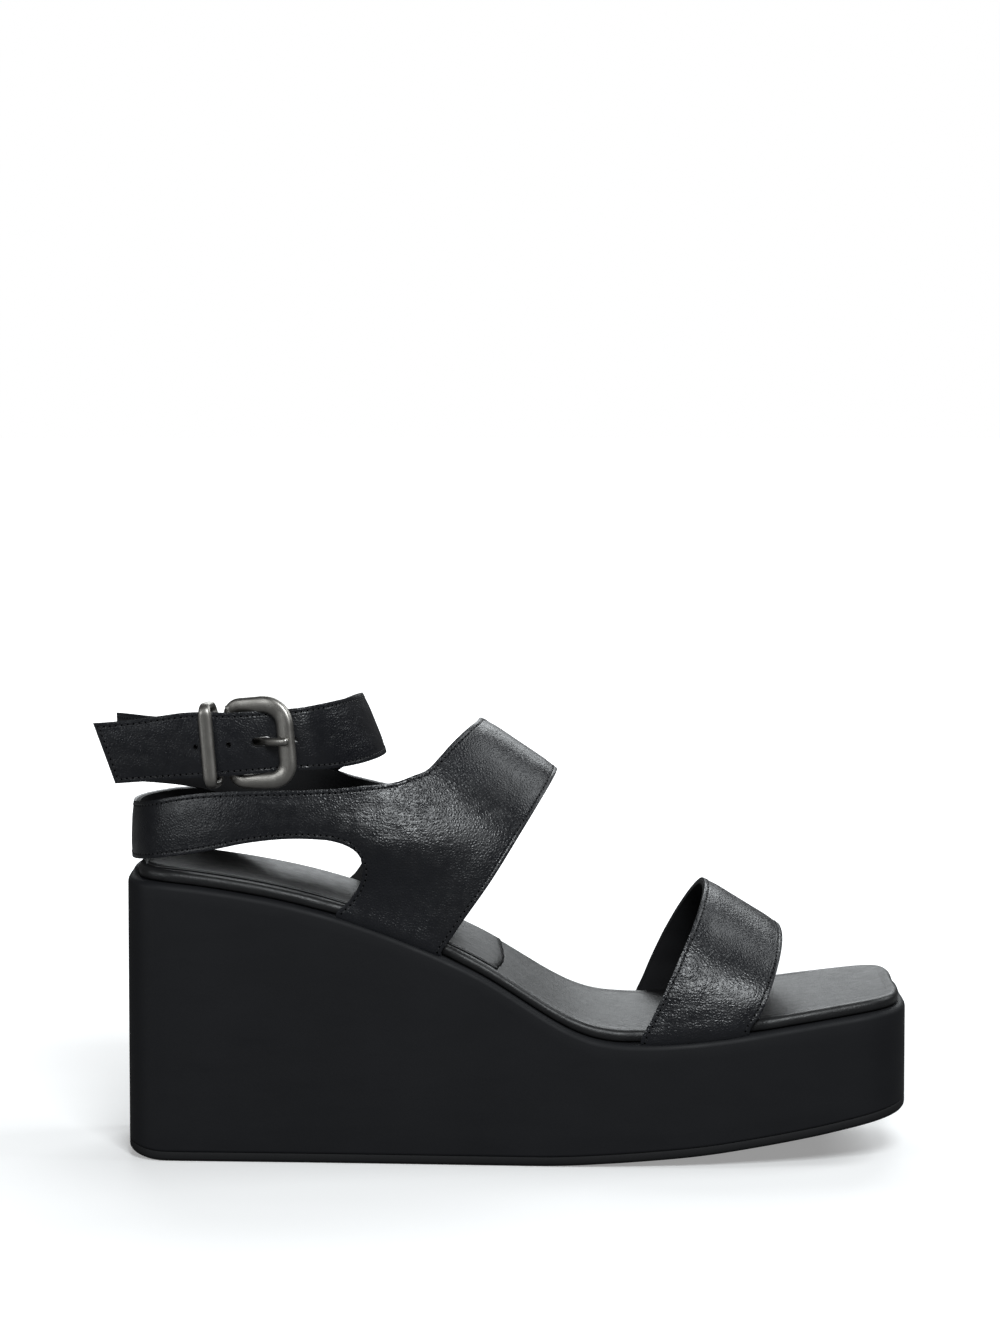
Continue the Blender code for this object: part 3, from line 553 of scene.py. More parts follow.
LEATHER = leather_material("black_leather", (0.0046, 0.0050, 0.0068), 0.31)
FOOTBED_LEATHER = leather_material("footbed_leather", (0.0065, 0.0065, 0.0070), 0.42, grain=0.5,
                                   stitched=False)
LINING = lining_material()
THREAD = thread_material()
FOAM = wedge_material()
RUBBER = outsole_material()
METAL = metal_material()
BOARD = plain_material("fibreboard", (0.30, 0.22, 0.14), 0.9)
PADDING = plain_material("padding_foam", (0.20, 0.20, 0.21), 0.95)
STEEL = plain_material("shank_steel", (0.45, 0.45, 0.46), 0.38, 1.0)


def dress(obj, material):
    obj.data.materials.clear()
    obj.data.materials.append(material)
    return obj


# ---------------------------------------------------------------- sole unit

def sole_outline(count=420):
    """Outline of the sole from above, counter-clockwise, evenly spaced."""
    corners = {(round(v.co.x / MM, 2), round(v.co.y / MM, 2)) for v in NODES["outsole"].data.vertices}
    points = np.array(sorted(corners, key=lambda p: math.atan2(p[1], p[0])))
    keep = [points[0]]
    for point in points[1:]:
        if np.linalg.norm(point - keep[-1]) > 1.2:
            keep.append(point)
    closed = np.vstack([keep, keep[:1]])
    along = travelled(closed)
    wrapped = np.vstack([closed[-4:-1], closed, closed[1:4]])
    places = np.concatenate([along[-4:-1] - along[-1], along, along[1:4] + along[-1]])
    even = np.linspace(0, along[-1], count, endpoint=False)
    smooth = smooth_between(places, wrapped, even)
    return smoothed_ring(smooth, 3)


def inset_outline(points, distance):
    """Moves the outline inwards by one distance, or by one for each point."""
    distance = np.reshape(distance, (-1, 1))
    before, after = np.roll(points, 2, axis=0), np.roll(points, -2, axis=0)
    along = unit(after - before)
    return points + np.column_stack([-along[:, 1], along[:, 0]]) * distance


OUTLINE = sole_outline()


def side_at(x, inner=False):
    """Y of the sole's outline at x on the outer or the inner side."""
    half = OUTLINE[OUTLINE[:, 1] > 0] if inner else OUTLINE[OUTLINE[:, 1] < 0]
    half = half[np.argsort(half[:, 0])]
    return float(np.interp(x, half[:, 0], half[:, 1]))


def profile(node, upward):
    """Height of a CAD node's top (or underside) along the sole, smoothed."""
    tree = BVHTree.FromObject(NODES[node], bpy.context.evaluated_depsgraph_get())
    low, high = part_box(node)
    xs = np.linspace(low.x / MM + 0.4, high.x / MM - 0.4, 240)
    heights = []
    for x in xs:
        y = (side_at(x, True) + side_at(x)) / 2 + 12.0
        start = Vector((x * MM, y * MM, 1.0 if upward else -1.0))
        hit = tree.ray_cast(start, Vector((0, 0, -1.0 if upward else 1.0)))[0]
        heights.append(hit.z / MM if hit else heights[-1])
    heights = np.array(heights)
    if not upward:
        heights = np.array([heights[max(0, i - 3):i + 4].min() for i in range(len(heights))])
    padded = np.pad(heights, 4, mode="reflect", reflect_type="odd")
    heights = np.convolve(padded, np.ones(9) / 9, mode="valid")
    return lambda x: float(np.interp(x, xs, heights))


bpy.context.view_layer.update()
wedge_top = profile("wedge", True)
sole_under = profile("outsole", False)
OUTSOLE_THICKNESS = 3.15
COVER_LOW, COVER_HIGH = 0.25, 4.1
COVER_INSET = 2.3
STRAP_CLEARANCE = 1.6
HEEL_CLEARANCE = 1.3
SOCK_INSET = 6.6


def cap(work, ring, outline, height, spacing, upward):
    """Fills a ring of vertices with a smooth triangulated surface."""
    coords = [Vector(p) for p in outline]
    low, high = outline.min(axis=0), outline.max(axis=0)
    count = len(coords)
    angles = np.arctan2(outline[:, 1], outline[:, 0])
    order = np.argsort(angles)
    reach = np.linalg.norm(outline, axis=1)
    for x in np.arange(low[0] + spacing, high[0], spacing):
        for y in np.arange(low[1] + spacing, high[1], spacing):
            limit = np.interp(math.atan2(y, x), angles[order], reach[order], period=2 * math.pi)
            if math.hypot(x, y) < limit - spacing * 0.6:
                coords.append(Vector((x, y)))
    edges = [(i, (i + 1) % count) for i in range(count)]
    verts, _, faces, origins, _, _ = delaunay_2d_cdt(coords, edges, [], 1, 1e-4)
    made = []
    for point, origin in zip(verts, origins):
        known = [i for i in origin if i < count]
        if known:
            made.append(ring[known[0]])
        else:
            made.append(work.verts.new((point.x * MM, point.y * MM, height(point.x, point.y) * MM)))
    for face in faces:
        corners = [made[i] for i in (face if upward else reversed(face))]
        if len(set(corners)) == 3 and not work.faces.get(corners):
            work.faces.new(corners)


def pad(name, outline, levels, spacing=6.0):
    """Closed solid from rings: each level is an inset of the outline and a height function of x, y."""
    work = bmesh.new()
    rings, outlines = [], []
    for distance, height in levels:
        points = inset_outline(outline, distance)
        rings.append([work.verts.new((x * MM, y * MM, height(x, y) * MM)) for x, y in points])
        outlines.append(points)
    for lower, upper in zip(rings, rings[1:]):
        for i in range(len(lower)):
            j = (i + 1) % len(lower)
            work.faces.new((lower[i], lower[j], upper[j], upper[i]))
    cap(work, rings[0], outlines[0], levels[0][1], spacing, False)
    cap(work, rings[-1], outlines[-1], levels[-1][1], spacing, True)
    return add_object(name, mesh_of(work, name))


def over_wedge(offset):
    return lambda x, y: wedge_top(x) + offset


def under_sole(offset):
    return lambda x, y: sole_under(x) + offset


def rounded(radius, top, steps=5):
    """Levels that round a top edge over the given radius."""
    made = []
    for k in range(steps + 1):
        angle = math.pi / 2 * k / steps
        made.append((radius * (1 - math.cos(angle)), top(radius * (math.sin(angle) - 1))))
    return made


def sole_part(obj, material, node):
    """Dresses a piece that stands for a node of the sole."""
    dress(obj, material)
    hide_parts(node)
    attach(obj, "sole")


def make_sole():
    wedge_low = OUTSOLE_THICKNESS + 0.02
    lower_edge = ((0.4, 0.0), (0.15, 0.1), (0.03, 0.3), (0.0, 0.8), (0.0, 8.0))
    levels = [(inset, under_sole(wedge_low + rise)) for inset, rise in lower_edge]
    levels += [(0.0, over_wedge(-6.0))]
    levels += rounded(2.2, over_wedge)
    levels += [(3.4, over_wedge(0.0)), (7.0, over_wedge(-0.1))]
    wedge = pad("wedge_body", OUTLINE, levels)
    sole_part(wedge, FOAM, "wedge")

    levels = [(1.6, under_sole(0.0)), (0.6, under_sole(0.15)), (0.1, under_sole(0.7)), (0.0, under_sole(1.2)),
              (0.0, under_sole(OUTSOLE_THICKNESS - 0.35)), (0.12, under_sole(OUTSOLE_THICKNESS - 0.1)),
              (0.4, under_sole(OUTSOLE_THICKNESS))]
    outsole = pad("outsole_sheet", OUTLINE, levels)
    sole_part(outsole, RUBBER, "outsole")


def cupped(offset):
    """Footbed surface: slightly hollow across, level with its rim at the edge."""
    def height(x, y):
        half = (side_at(x, True) - side_at(x)) / 2
        middle = (side_at(x, True) + side_at(x)) / 2
        across = min(1.0, abs(y - middle) / max(half - 6.0, 1.0))
        return wedge_top(x) + offset - 0.8 * (1 - across ** 2)
    return height


def pressed(offset, depth):
    """Cupped height with a pressed line that fades out towards the toe."""
    base = cupped(offset)
    return lambda x, y: base(x, y) - depth * (1 - smooth_step((x - 92.0) / 14.0))


def strap_nearness():
    """1 beside the feet of the toe and instep straps, 0 away from them, for each point of the outline."""
    share = np.zeros(len(OUTLINE))
    for strap in ("toe_strap_outer", "instep_strap_outer"):
        feet = [v.co.x / MM for v in NODES[strap].data.vertices if v.co.z / MM < wedge_top(v.co.x / MM) + 1.0]
        beyond = np.maximum(min(feet) - OUTLINE[:, 0], OUTLINE[:, 0] - max(feet))
        share = np.maximum(share, smooth_step(1 - (beyond - 1.5) / 4.0))
    return share


def make_footbed():
    at_heel = smooth_step((-112.0 - OUTLINE[:, 0]) / 8.0)
    inset = COVER_INSET + np.maximum(STRAP_CLEARANCE * strap_nearness(), HEEL_CLEARANCE * at_heel)
    edge = smoothed_ring(inset_outline(OUTLINE, inset), 4)
    levels = [(0.9, over_wedge(COVER_LOW)), (0.35, over_wedge(COVER_LOW + 0.1)), (0.1, over_wedge(0.8)),
              (0.0, over_wedge(1.8))]
    levels += rounded(1.9, lambda drop: over_wedge(COVER_HIGH + drop))
    low = COVER_HIGH - 0.05
    levels += [(3.6, cupped(COVER_HIGH)), (4.1, pressed(low, 0.25)), (4.6, cupped(low)), (6.5, cupped(low))]
    cover = pad("footbed_leather_cover", edge, levels, 5.0)
    put_attribute(cover.data, "crease", np.zeros(len(cover.data.vertices)))
    sole_part(cover, FOOTBED_LEATHER, "footbed_cover")

    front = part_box("heel_sock")[1].x / MM + 1.8
    shape = inset_outline(OUTLINE, SOCK_INSET)
    rear = shape[shape[:, 0] < front]
    gaps = np.linalg.norm(np.diff(rear, axis=0, append=rear[:1]), axis=1)
    rear = np.roll(rear, -int(np.argmax(gaps)) - 1, axis=0)
    cut = resample(np.array([rear[-1], rear[0]]), 0.75)[1:-1]
    pinking = 0.9 * np.sin(cut[:, 1] * 2 * math.pi / 3.2)
    cut[:, 0] += pinking + 1.2 * np.cos(cut[:, 1] / 26 * math.pi / 2) - 0.4
    shape = np.vstack([rear, cut])
    levels = [(0.5, cupped(low - 0.5)), (0.0, cupped(low + 0.35)), (0.12, cupped(low + 0.75)),
              (0.55, cupped(low + 0.95)), (1.4, cupped(low + 1.0))]
    sock = pad("heel_sock_pad", shape, levels, 5.0)
    put_attribute(sock.data, "crease", np.zeros(len(sock.data.vertices)))
    sole_part(sock, FOOTBED_LEATHER, "heel_sock")


# ---------------------------------------------------------------- leather straps

def across_shares(count, width):
    """Shares across a strap, closer together near its edges."""
    near = np.array([0.0, 0.3, 0.65, 1.05, 1.45, 2.0, 2.8, 3.8]) / width
    middle = np.linspace(near[-1], 1 - near[-1], count)[1:-1]
    return np.concatenate([near, middle, 1 - near[::-1]])


def boundary_paths(mesh, is_open):
    """Boundary polylines (mm) of an open mesh, cut where is_open says an edge isn't a strap edge."""
    work = bmesh.new()
    work.from_mesh(mesh)
    work.verts.ensure_lookup_table()
    links = {}
    for edge in work.edges:
        if len(edge.link_faces) == 1 and not is_open((edge.verts[0].co + edge.verts[1].co) / 2 / MM):
            a, b = (v.index for v in edge.verts)
            links.setdefault(a, []).append(b)
            links.setdefault(b, []).append(a)
    paths, used = [], set()
    starts = [v for v in links if len(links[v]) == 1] + list(links)
    for first in starts:
        if first in used:
            continue
        path = walk(links, first, used)
        if len(links[path[-1]]) == 2 and path[0] in links[path[-1]]:
            path.append(path[0])
        if len(path) > 2:
            paths.append(np.array([work.verts[i].co for i in path]) / MM)
    work.free()
    return paths


def shape_surface(mesh, paths, creases=(), bulges=()):
    """Puffs the leather between its edges and stores distance to the edge and crease weight."""
    samples = np.vstack([resample(path, 0.3) for path in paths])
    finder = nearest_finder(samples)
    places = vertex_array(mesh, "co") / MM
    normals = vertex_array(mesh, "normal")
    edge = np.array([finder.find(Vector(p))[2] for p in places])
    puff = PUFF_HEIGHT * (1 - np.exp(-(np.maximum(edge - STITCH_INSET, 0) / 2.6) ** 2))
    roll = -0.12 * np.maximum(1 - edge / 0.8, 0) ** 2
    weight = np.zeros(len(places))
    fold = np.zeros(len(places))
    for centre, reach, strength, direction, pitch in creases:
        offset = places - np.array(centre)
        share = strength * np.exp(-(np.linalg.norm(offset, axis=1) / reach) ** 2)
        weight = np.maximum(weight, share)
        wave = offset @ unit(np.array(direction, dtype=float)) * 2 * math.pi / pitch
        bend = np.sin(places @ np.array([0.21, 0.34, 0.17])) * 1.6
        fold += FOLD_HEIGHT * share * np.sin(wave + bend)
    for centre, reaches, height in bulges:
        offset = (places - np.array(centre)) / np.array(reaches)
        fold += height * np.exp(-np.sum(offset ** 2, axis=1))
    places += normals * (puff + roll + fold)[:, None]
    mesh.vertices.foreach_set("co", (places * MM).ravel())
    mesh.update()
    put_attribute(mesh, "edge_mm", edge)
    put_attribute(mesh, "crease", weight)


def thicken(name, mesh, depths, material, cutters=()):
    """Leather between two depths under the surface, with rounded edges."""
    obj = add_object(name, mesh.copy())
    solid = obj.modifiers.new("thickness", "SOLIDIFY")
    solid.thickness = (depths[1] - depths[0]) * MM
    solid.offset = -(depths[0] + depths[1]) / (depths[1] - depths[0])
    solid.use_even_offset = True
    for cutter in cutters:
        cut = obj.modifiers.new("hole", "BOOLEAN")
        cut.object = cutter
        cut.solver = "EXACT"
    bevel = obj.modifiers.new("rounding", "BEVEL")
    bevel.width = EDGE_ROUNDING * MM
    bevel.segments = 3
    bevel.limit_method = "ANGLE"
    bevel.angle_limit = math.radians(55)
    apply_modifiers(obj)
    obj.data.shade_smooth()
    return dress(obj, material)


def capsule(length, radius, sides=8, rounds=3):
    """Points and faces of a rounded rod along X."""
    rings = []
    for end in (-1, 1):
        angles = np.linspace(0, math.pi / 2, rounds)
        for angle in (angles[::-1] if end < 0 else angles):
            x = end * (length / 2 - radius + radius * math.sin(angle))
            rings.append((x, radius * math.cos(angle) + 1e-4))
    points, faces = [], []
    for x, r in rings:
        points += [(x, r * math.cos(2 * math.pi * k / sides), r * math.sin(2 * math.pi * k / sides))
                   for k in range(sides)]
    for ring in range(len(rings) - 1):
        for k in range(sides):
            a, b = ring * sides + k, ring * sides + (k + 1) % sides
            faces.append((a, b, b + sides, a + sides))
    faces.append(tuple(range(sides))[::-1])
    faces.append(tuple(range((len(rings) - 1) * sides, len(rings) * sides)))
    return np.array(points), faces


def stitch_paths(mesh, paths, inset=STITCH_INSET):
    """Lines of places and normals on the surface, inset from the strap's edges."""
    work = bmesh.new()
    work.from_mesh(mesh)
    tree = BVHTree.FromBMesh(work)
    lines = []
    for path in paths:
        points = resample(path, 0.8)
        tangents = unit(np.gradient(points, axis=0))
        moved = []
        for point, tangent in zip(points, tangents):
            normal = tree.find_nearest(Vector(point * MM))[1]
            side = np.cross(np.array(normal), tangent)
            options = [point + side * inset, point - side * inset]
            gaps = [tree.find_nearest(Vector(o * MM))[3] for o in options]
            moved.append(options[int(np.argmin(gaps))])
        moved = smoothed_line(np.array(moved), 4)
        line = []
        for point in resample(moved, STITCH_PITCH):
            place, normal, _, _ = tree.find_nearest(Vector(point * MM))
            line.append((np.array(place) / MM, np.array(normal)))
        lines.append(line)
    work.free()
    return lines


def make_stitches(name, lines, keep=lambda place: True):
    """One mesh of thread capsules along the lines, with a needle hole disc between each pair that is painted
    near black as the shade inside the hole.
    """
    shape, shape_faces = capsule(STITCH_LENGTH, STITCH_RADIUS)
    turns = np.linspace(0, 2 * math.pi, 8, endpoint=False)
    # The needle hole disc is a low raised cone, not a recess; its dark colour is painted shade.
    hole = [(0.0, 0.0, 0.10)] + [(HOLE_RADIUS * math.cos(a), HOLE_RADIUS * math.sin(a), -0.03) for a in turns]
    hole_faces = [(0, 1 + k, 1 + (k + 1) % 8) for k in range(8)]
    is_hole_painted_shade = np.append(np.zeros(len(shape)), np.ones(len(hole)))
    hole = np.array(hole) - np.array([STITCH_PITCH / 2, 0, 0])
    shape_faces = shape_faces + [tuple(i + len(shape) for i in face) for face in hole_faces]
    shape = np.vstack([shape - np.array([0, 0, 0.04]), hole])
    points, faces = [], []
    for line in lines:
        for (start, normal), (end, _) in zip(line, line[1:]):
            middle = (start + end) / 2
            if not keep(middle) or np.linalg.norm(end - start) > STITCH_PITCH * 1.6:
                continue
            along = unit(end - start)
            up = unit(normal - along * np.dot(normal, along))
            axes = np.column_stack([along, np.cross(up, along), up])
            offset = len(points) * len(shape)
            points.append(shape @ axes.T + middle)
            faces += [tuple(i + offset for i in face) for face in shape_faces]
    mesh = mesh_from(name, np.vstack(points), faces)
    put_attribute(mesh, "needle_hole_painted_shade", np.tile(is_hole_painted_shade, len(points)))
    obj = add_object(name, mesh)
    return dress(obj, THREAD)


def leather_layers(name, mesh, cutters=()):
    outer = thicken(name + "_leather", mesh, OUTER_LEATHER, LEATHER, cutters)
    lining = thicken(name + "_lining_leather", mesh, LINING_LEATHER, LINING, cutters)
    return outer, lining


def near_wedge(point, margin):
    return point[2] < wedge_top(float(point[0])) + margin


def make_toe_strap():
    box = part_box("toe_strap_outer")
    sheet = lasted_sheet("toe_strap", np.array([box[0].x, box[0].y, box[0].z]) / MM)
    rows = stations(LASTED_END, sheet.length - LASTED_END, ROW_STEP)
    shares = across_shares(22, 40.0)
    mesh = grid_mesh("toe_strap", sheet.at(rows, shares))
    paths = boundary_paths(mesh, lambda p: near_wedge(p, 0.0))
    outer_foot = (48.0, -42.0, 60.0)
    creases = [(outer_foot, 15.0, 0.9, (-0.5, 0, 1), 7.0), ((52.0, 42.0, 60.0), 12.0, 0.7, (0.5, 0, 1), 8.0),
               ((80.0, -32.0, 66.0), 8.0, 0.5, (1, 0.3, 0.6), 7.0)]
    shape_surface(mesh, paths, creases)
    outer, lining = leather_layers("toe_strap", mesh)
    stitches = make_stitches("toe_strap_stitches", stitch_paths(mesh, paths),
                             lambda p: not near_wedge(p, 1.0))
    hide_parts("toe_strap_outer")
    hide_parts("toe_strap_lining")
    for piece in (outer, lining, stitches):
        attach(piece, "sole")


def bezier(start, control, end, shares):
    t = shares[:, None]
    return (1 - t) ** 2 * start + 2 * t * (1 - t) * control + t ** 2 * end


def junction_blend(edge):
    """Start and end of a zone across the junction between the instep strap and the harness."""
    middle = (edge[0] + edge[-1]) / 2
    along = unit(edge[-1] - edge[0])
    along = along * math.copysign(1, along[2])
    back = np.array([-along[2], 0.0, along[0]])
    return (middle - back * 1.0) * MM, (middle + back * 7.5) * MM


JUNCTION_GUESS = np.array([-43.0, -37.0, 114.0])


def make_instep_and_heel_strap():
    """One piece of leather: the instep strap with the heel strap growing out of its rear edge."""
    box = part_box("instep_strap_outer")
    sheet = lasted_sheet("instep_strap", np.array([box[0].x, box[0].y, box[0].z]) / MM)
    strip = Sheet(ankle_strip("heel_strap", JUNCTION_GUESS))
    places = np.linspace(0, sheet.length, 1200)
    rear = sheet.at(places, [0.0])[:, 0]
    rail = travelled(rear)
    first = rail[np.argmin(np.linalg.norm(rear - strip.grid[0, 0], axis=1))]
    last = rail[np.argmin(np.linalg.norm(rear - strip.grid[0, 1], axis=1))]
    low = float(np.interp(first - 8.0, rail, places))
    high = float(np.interp(last + 5.0, rail, places))
    branch_columns = 25
    rows_below = stations(LASTED_END, low, ROW_STEP)[:-1]
    rows_shared = np.linspace(low, high, branch_columns)
    rows_above = stations(high, sheet.length - LASTED_END, ROW_STEP)[1:]
    rows = np.concatenate([rows_below, rows_shared, rows_above])
    shares = across_shares(26, 52.0)
    grid = sheet.at(rows, shares)
    columns = len(shares)
    points = list(grid.reshape(-1, 3))
    faces = grid_faces(len(rows), columns, lambda r, c: r * columns + c)

    root_row = len(rows_below)
    root = grid[root_row:root_row + branch_columns, 0]
    reach = 13.0
    spread = np.linspace(0, 1, branch_columns)
    end_row = strip.at([reach], spread)[0]
    count = int(reach / ROW_STEP) + 2
    t = np.linspace(0, 1, count) ** 0.6
    corner_low = sheet.at([np.interp(first, rail, places)], [0.0])[0, 0]
    corner_high = sheet.at([np.interp(last, rail, places)], [0.0])[0, 0]
    lower = bezier(root[0], corner_low, end_row[0], t)
    upper = bezier(root[-1], corner_high, end_row[-1], t)
    patch = []
    for i in range(1, count):
        ruled = (1 - t[i]) * root + t[i] * end_row
        sides = (1 - spread)[:, None] * lower[i] + spread[:, None] * upper[i]
        corners = (1 - spread)[:, None] * ((1 - t[i]) * root[0] + t[i] * end_row[0])
        corners += spread[:, None] * ((1 - t[i]) * root[-1] + t[i] * end_row[-1])
        patch.append(ruled + sides - corners)
    branch = np.concatenate([np.array(patch), strip.at(stations(reach, strip.length, ROW_STEP)[1:], spread)])
    offset = len(points)
    points += list(branch.reshape(-1, 3))

    def branch_index(r, c):
        if r == 0:
            return (root_row + c) * columns
        return offset + (r - 1) * branch_columns + c

    faces += grid_faces(len(branch) + 1, branch_columns, branch_index)
    mesh = mesh_from("instep_and_heel_strap", np.array(points), faces)
    finish_line = strip.grid[-1].mean(axis=0)

    def not_an_edge(p):
        return near_wedge(p, 0.0) or np.linalg.norm(np.array(p) - finish_line) < 9.0

    paths = boundary_paths(mesh, not_an_edge)
    creases = [(corner_high + np.array([5, 0, -4]), 15.0, 1.0, (0.75, 0.0, 0.65), 6.5),
               (corner_low + np.array([6, 0, 6]), 10.0, 0.5, (0.2, 0.0, 1.0), 7.0),
               (strip.grid[0].mean(axis=0) + np.array([-8, 0, 0]), 13.0, 0.5, (1, 0, 0.1), 6.0)]
    bulges = [(corner_low + np.array([4.0, 0, 0]), (30.0, 30.0, 13.0), 3.3)]
    shape_surface(mesh, paths, creases, bulges)
    outer, lining = leather_layers("instep_and_heel_strap", mesh)
    stitches = make_stitches("instep_and_heel_strap_stitches", stitch_paths(mesh, paths),
                             lambda p: not near_wedge(p, 1.0))
    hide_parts("instep_strap_outer", "heel_strap_outer")
    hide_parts("instep_strap_lining", "heel_strap_lining")
    start, end = junction_blend(strip.grid[0])
    for piece in (outer, lining, stitches):
        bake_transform(piece)
        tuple(start)
        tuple(end)


def joint_place(name):
    return np.array(JOINTS[name]["pos_m"]) / MM


def hole_cutter(name, distance, length, width, depth=14.0):
    """Rounded slot through the buckled strap, at a distance behind the front bar."""
    mesh = bpy.data.meshes.new(name)
    work = bmesh.new()
    sides = 20
    outline = []
    for k in range(sides):
        angle = 2 * math.pi * k / sides
        stretch = max(length - width, 0.0) / 2 * (1 if math.cos(angle) > 0 else -1)
        outline.append((stretch + width / 2 * math.cos(angle), width / 2 * math.sin(angle)))
    bottom = [work.verts.new((x * MM, y * MM, -depth / 2 * MM)) for x, y in outline]
    top = [work.verts.new((x * MM, y * MM, depth / 2 * MM)) for x, y in outline]
    work.faces.new(bottom[::-1])
    work.faces.new(top)
    for i in range(sides):
        j = (i + 1) % sides
        work.faces.new((bottom[i], bottom[j], top[j], top[i]))
    work.to_mesh(mesh)
    work.free()
    cutter = add_object(name, mesh)
    cutter.matrix_world = BUCKLE_AXES @ Matrix.Translation(((FRONT_BAR - distance) * MM, 0, 3.0 * MM))
    cutter.hide_render = True
    cutter.display_type = "WIRE"
    return cutter


FRONT_BAR = 19.0
SEAM_LAP = 1.6
LINING_START = 27.0
HOLES = (-14.0, -3.0, 19.0, 30.0)


def make_ankle_strap():
    """The strip that rises on the inner side, comes round the front and ends in the buckled tip."""
    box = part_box("ankle_strap_outer")
    first = ankle_strip("ankle_strap", np.array([-104.0, box[1].y / MM, 106.0]))
    flex = joint_place("strap_tip_flex")
    tip = ankle_strip("strap_tip", flex, np.array(BUCKLE_AXES.to_3x3().col[0]))
    lap = first[:1] + unit(first[:1] - first[1:2]) * SEAM_LAP + np.array([0, 0.25, 0])
    sheet = Sheet(np.concatenate([lap, first[:-1], (first[-1:] + tip[:1]) / 2, tip[1:]]))
    rows = stations(0, sheet.length, ROW_STEP)
    mesh = grid_mesh("ankle_strap", sheet.at(rows, across_shares(12, 20.2)))
    paths = boundary_paths(mesh, lambda p: False)
    creases = [((-52.0, -22.0, 139.0), 13.0, 0.6, (1, 0.4, 0), 7.0),
               ((-120.0, -27.0, 133.0), 12.0, 0.45, (0, 0, 1), 8.0),
               ((-50.0, 14.0, 138.0), 12.0, 0.6, (0, 1, 0), 7.0)]
    shape_surface(mesh, paths, creases)
    cutters = [hole_cutter("hole", distance, 1.6, 1.6) for distance in HOLES]
    cutters.append(hole_cutter("prong_hole", 8.4, 6.4, 3.2))
    outer, lining = leather_layers("ankle_strap", mesh, cutters)
    for cutter in cutters:
        bpy.data.objects.remove(cutter, do_unlink=True)
    stitches = make_stitches("ankle_strap_stitches", stitch_paths(mesh, paths))
    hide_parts("ankle_strap_outer", "strap_tip_outer")
    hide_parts("ankle_strap_lining", "strap_tip_lining")
    forward, _, out = (np.array(axis) for axis in BUCKLE_AXES.to_3x3().col)
    bend = unit(0.6 * out - forward) * 2.5
    for piece in (outer, lining, stitches):
        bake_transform(piece)


def make_buckle_strap():
    """The strip that holds the buckle: folded round the bar, round the heel, sewn inside the instep strap."""
    start = np.array(BUCKLE_AXES @ Vector((-14 * MM, 0, -1 * MM))) / MM
    sheet = Sheet(ankle_strip("buckle_strap", start))
    rows = np.concatenate([np.arange(0, 26, 0.6), stations(26, sheet.length, ROW_STEP)])
    shares = across_shares(12, 19.0)
    grid = sheet.at(rows, shares)
    ahead = unit(np.mean(grid[-1] - grid[-4], axis=0))
    normal = unit(np.cross(grid[-1][-1] - grid[-1][0], ahead))
    tucked = []
    for k in range(1, 9):
        tucked.append(grid[-1] + ahead * 1.5 * k)
    grid = np.concatenate([grid, np.array(tucked)])
    travel = travelled(grid[:, len(shares) // 2])
    sink = smooth_step((travel - (sheet.length - 5.0)) / 5.0) * 2.5
    grid -= normal * sink[:, None, None]
    mesh = grid_mesh("buckle_strap", grid)
    paths = boundary_paths(mesh, lambda p: False)
    shape_surface(mesh, paths)
    slot = hole_cutter("loop_slot", 19.2, 7.4, 5.0, 18.0)
    slot.location += BUCKLE_AXES.to_3x3() @ Vector((0, 0, -3.0 * MM))
    outer = thicken("buckle_strap_leather", mesh, OUTER_LEATHER, LEATHER, [slot])
    bpy.data.objects.remove(slot, do_unlink=True)
    under = grid_mesh("buckle_strap_under", grid[travel > LINING_START])
    shape_surface(under, boundary_paths(under, lambda p: False))
    lining = thicken("buckle_strap_lining_leather", under, LINING_LEATHER, LINING)
    stitches = make_stitches("buckle_strap_stitches", stitch_paths(mesh, paths))
    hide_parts("buckle_strap_outer")
    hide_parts("buckle_strap_lining")
    begin, finish = junction_blend(sheet.grid[-1])
    for piece in (outer, lining, stitches):
        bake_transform(piece)
        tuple(begin)
        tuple(finish)


# ---------------------------------------------------------------- metal

def swept_loop(name, centres, sections, closed=True, sides=20):
    """Tube through centres; a section is its half width and half thickness, and the axes they lie along."""
    points, faces = [], []
    for centre, (wide, thick, side, normal) in zip(centres, sections):
        for k in range(sides):
            angle = 2 * math.pi * k / sides
            c, s = math.cos(angle), math.sin(angle)
            c, s = math.copysign(abs(c) ** 0.8, c), math.copysign(abs(s) ** 0.8, s)
            points.append(centre + side * wide * c + normal * thick * s)
    count = len(centres)
    for i in range(count if closed else count - 1):
        for k in range(sides):
            a, b = i * sides, (i + 1) % count * sides
            faces.append((a + k, a + (k + 1) % sides, b + (k + 1) % sides, b + k))
    if not closed:
        faces.append(tuple(range(sides))[::-1])
        faces.append(tuple(range((count - 1) * sides, count * sides)))
    mesh = mesh_from(name, np.array(points), faces)
    work = bmesh.new()
    work.from_mesh(mesh)
    bmesh.ops.recalc_face_normals(work, faces=work.faces)
    work.to_mesh(mesh)
    work.free()
    mesh.shade_smooth()
    return mesh


def rounded_rectangle(left, right, bottom, top, radii, step=0.8):
    """Closed path through a rounded rectangle; radii start at the right top corner, counter-clockwise."""
    corners = [(right, top, 0), (left, top, 90), (left, bottom, 180), (right, bottom, 270)]
    path = []
    for (x, y, start), radius in zip(corners, radii):
        cx = x - math.copysign(radius, x - (left + right) / 2)
        cy = y - math.copysign(radius, y - (bottom + top) / 2)
        for k in range(11):
            angle = math.radians(start + 9 * k)
            path.append((cx + radius * math.cos(angle), cy + radius * math.sin(angle)))
    path.append(path[0])
    return resample(np.array(path), step)[:-1]


def metal_piece(name, mesh):
    """Metal object from a mesh in the buckle's axes."""
    obj = add_object(name, mesh)
    obj.matrix_world = BUCKLE_AXES
    return dress(obj, METAL)


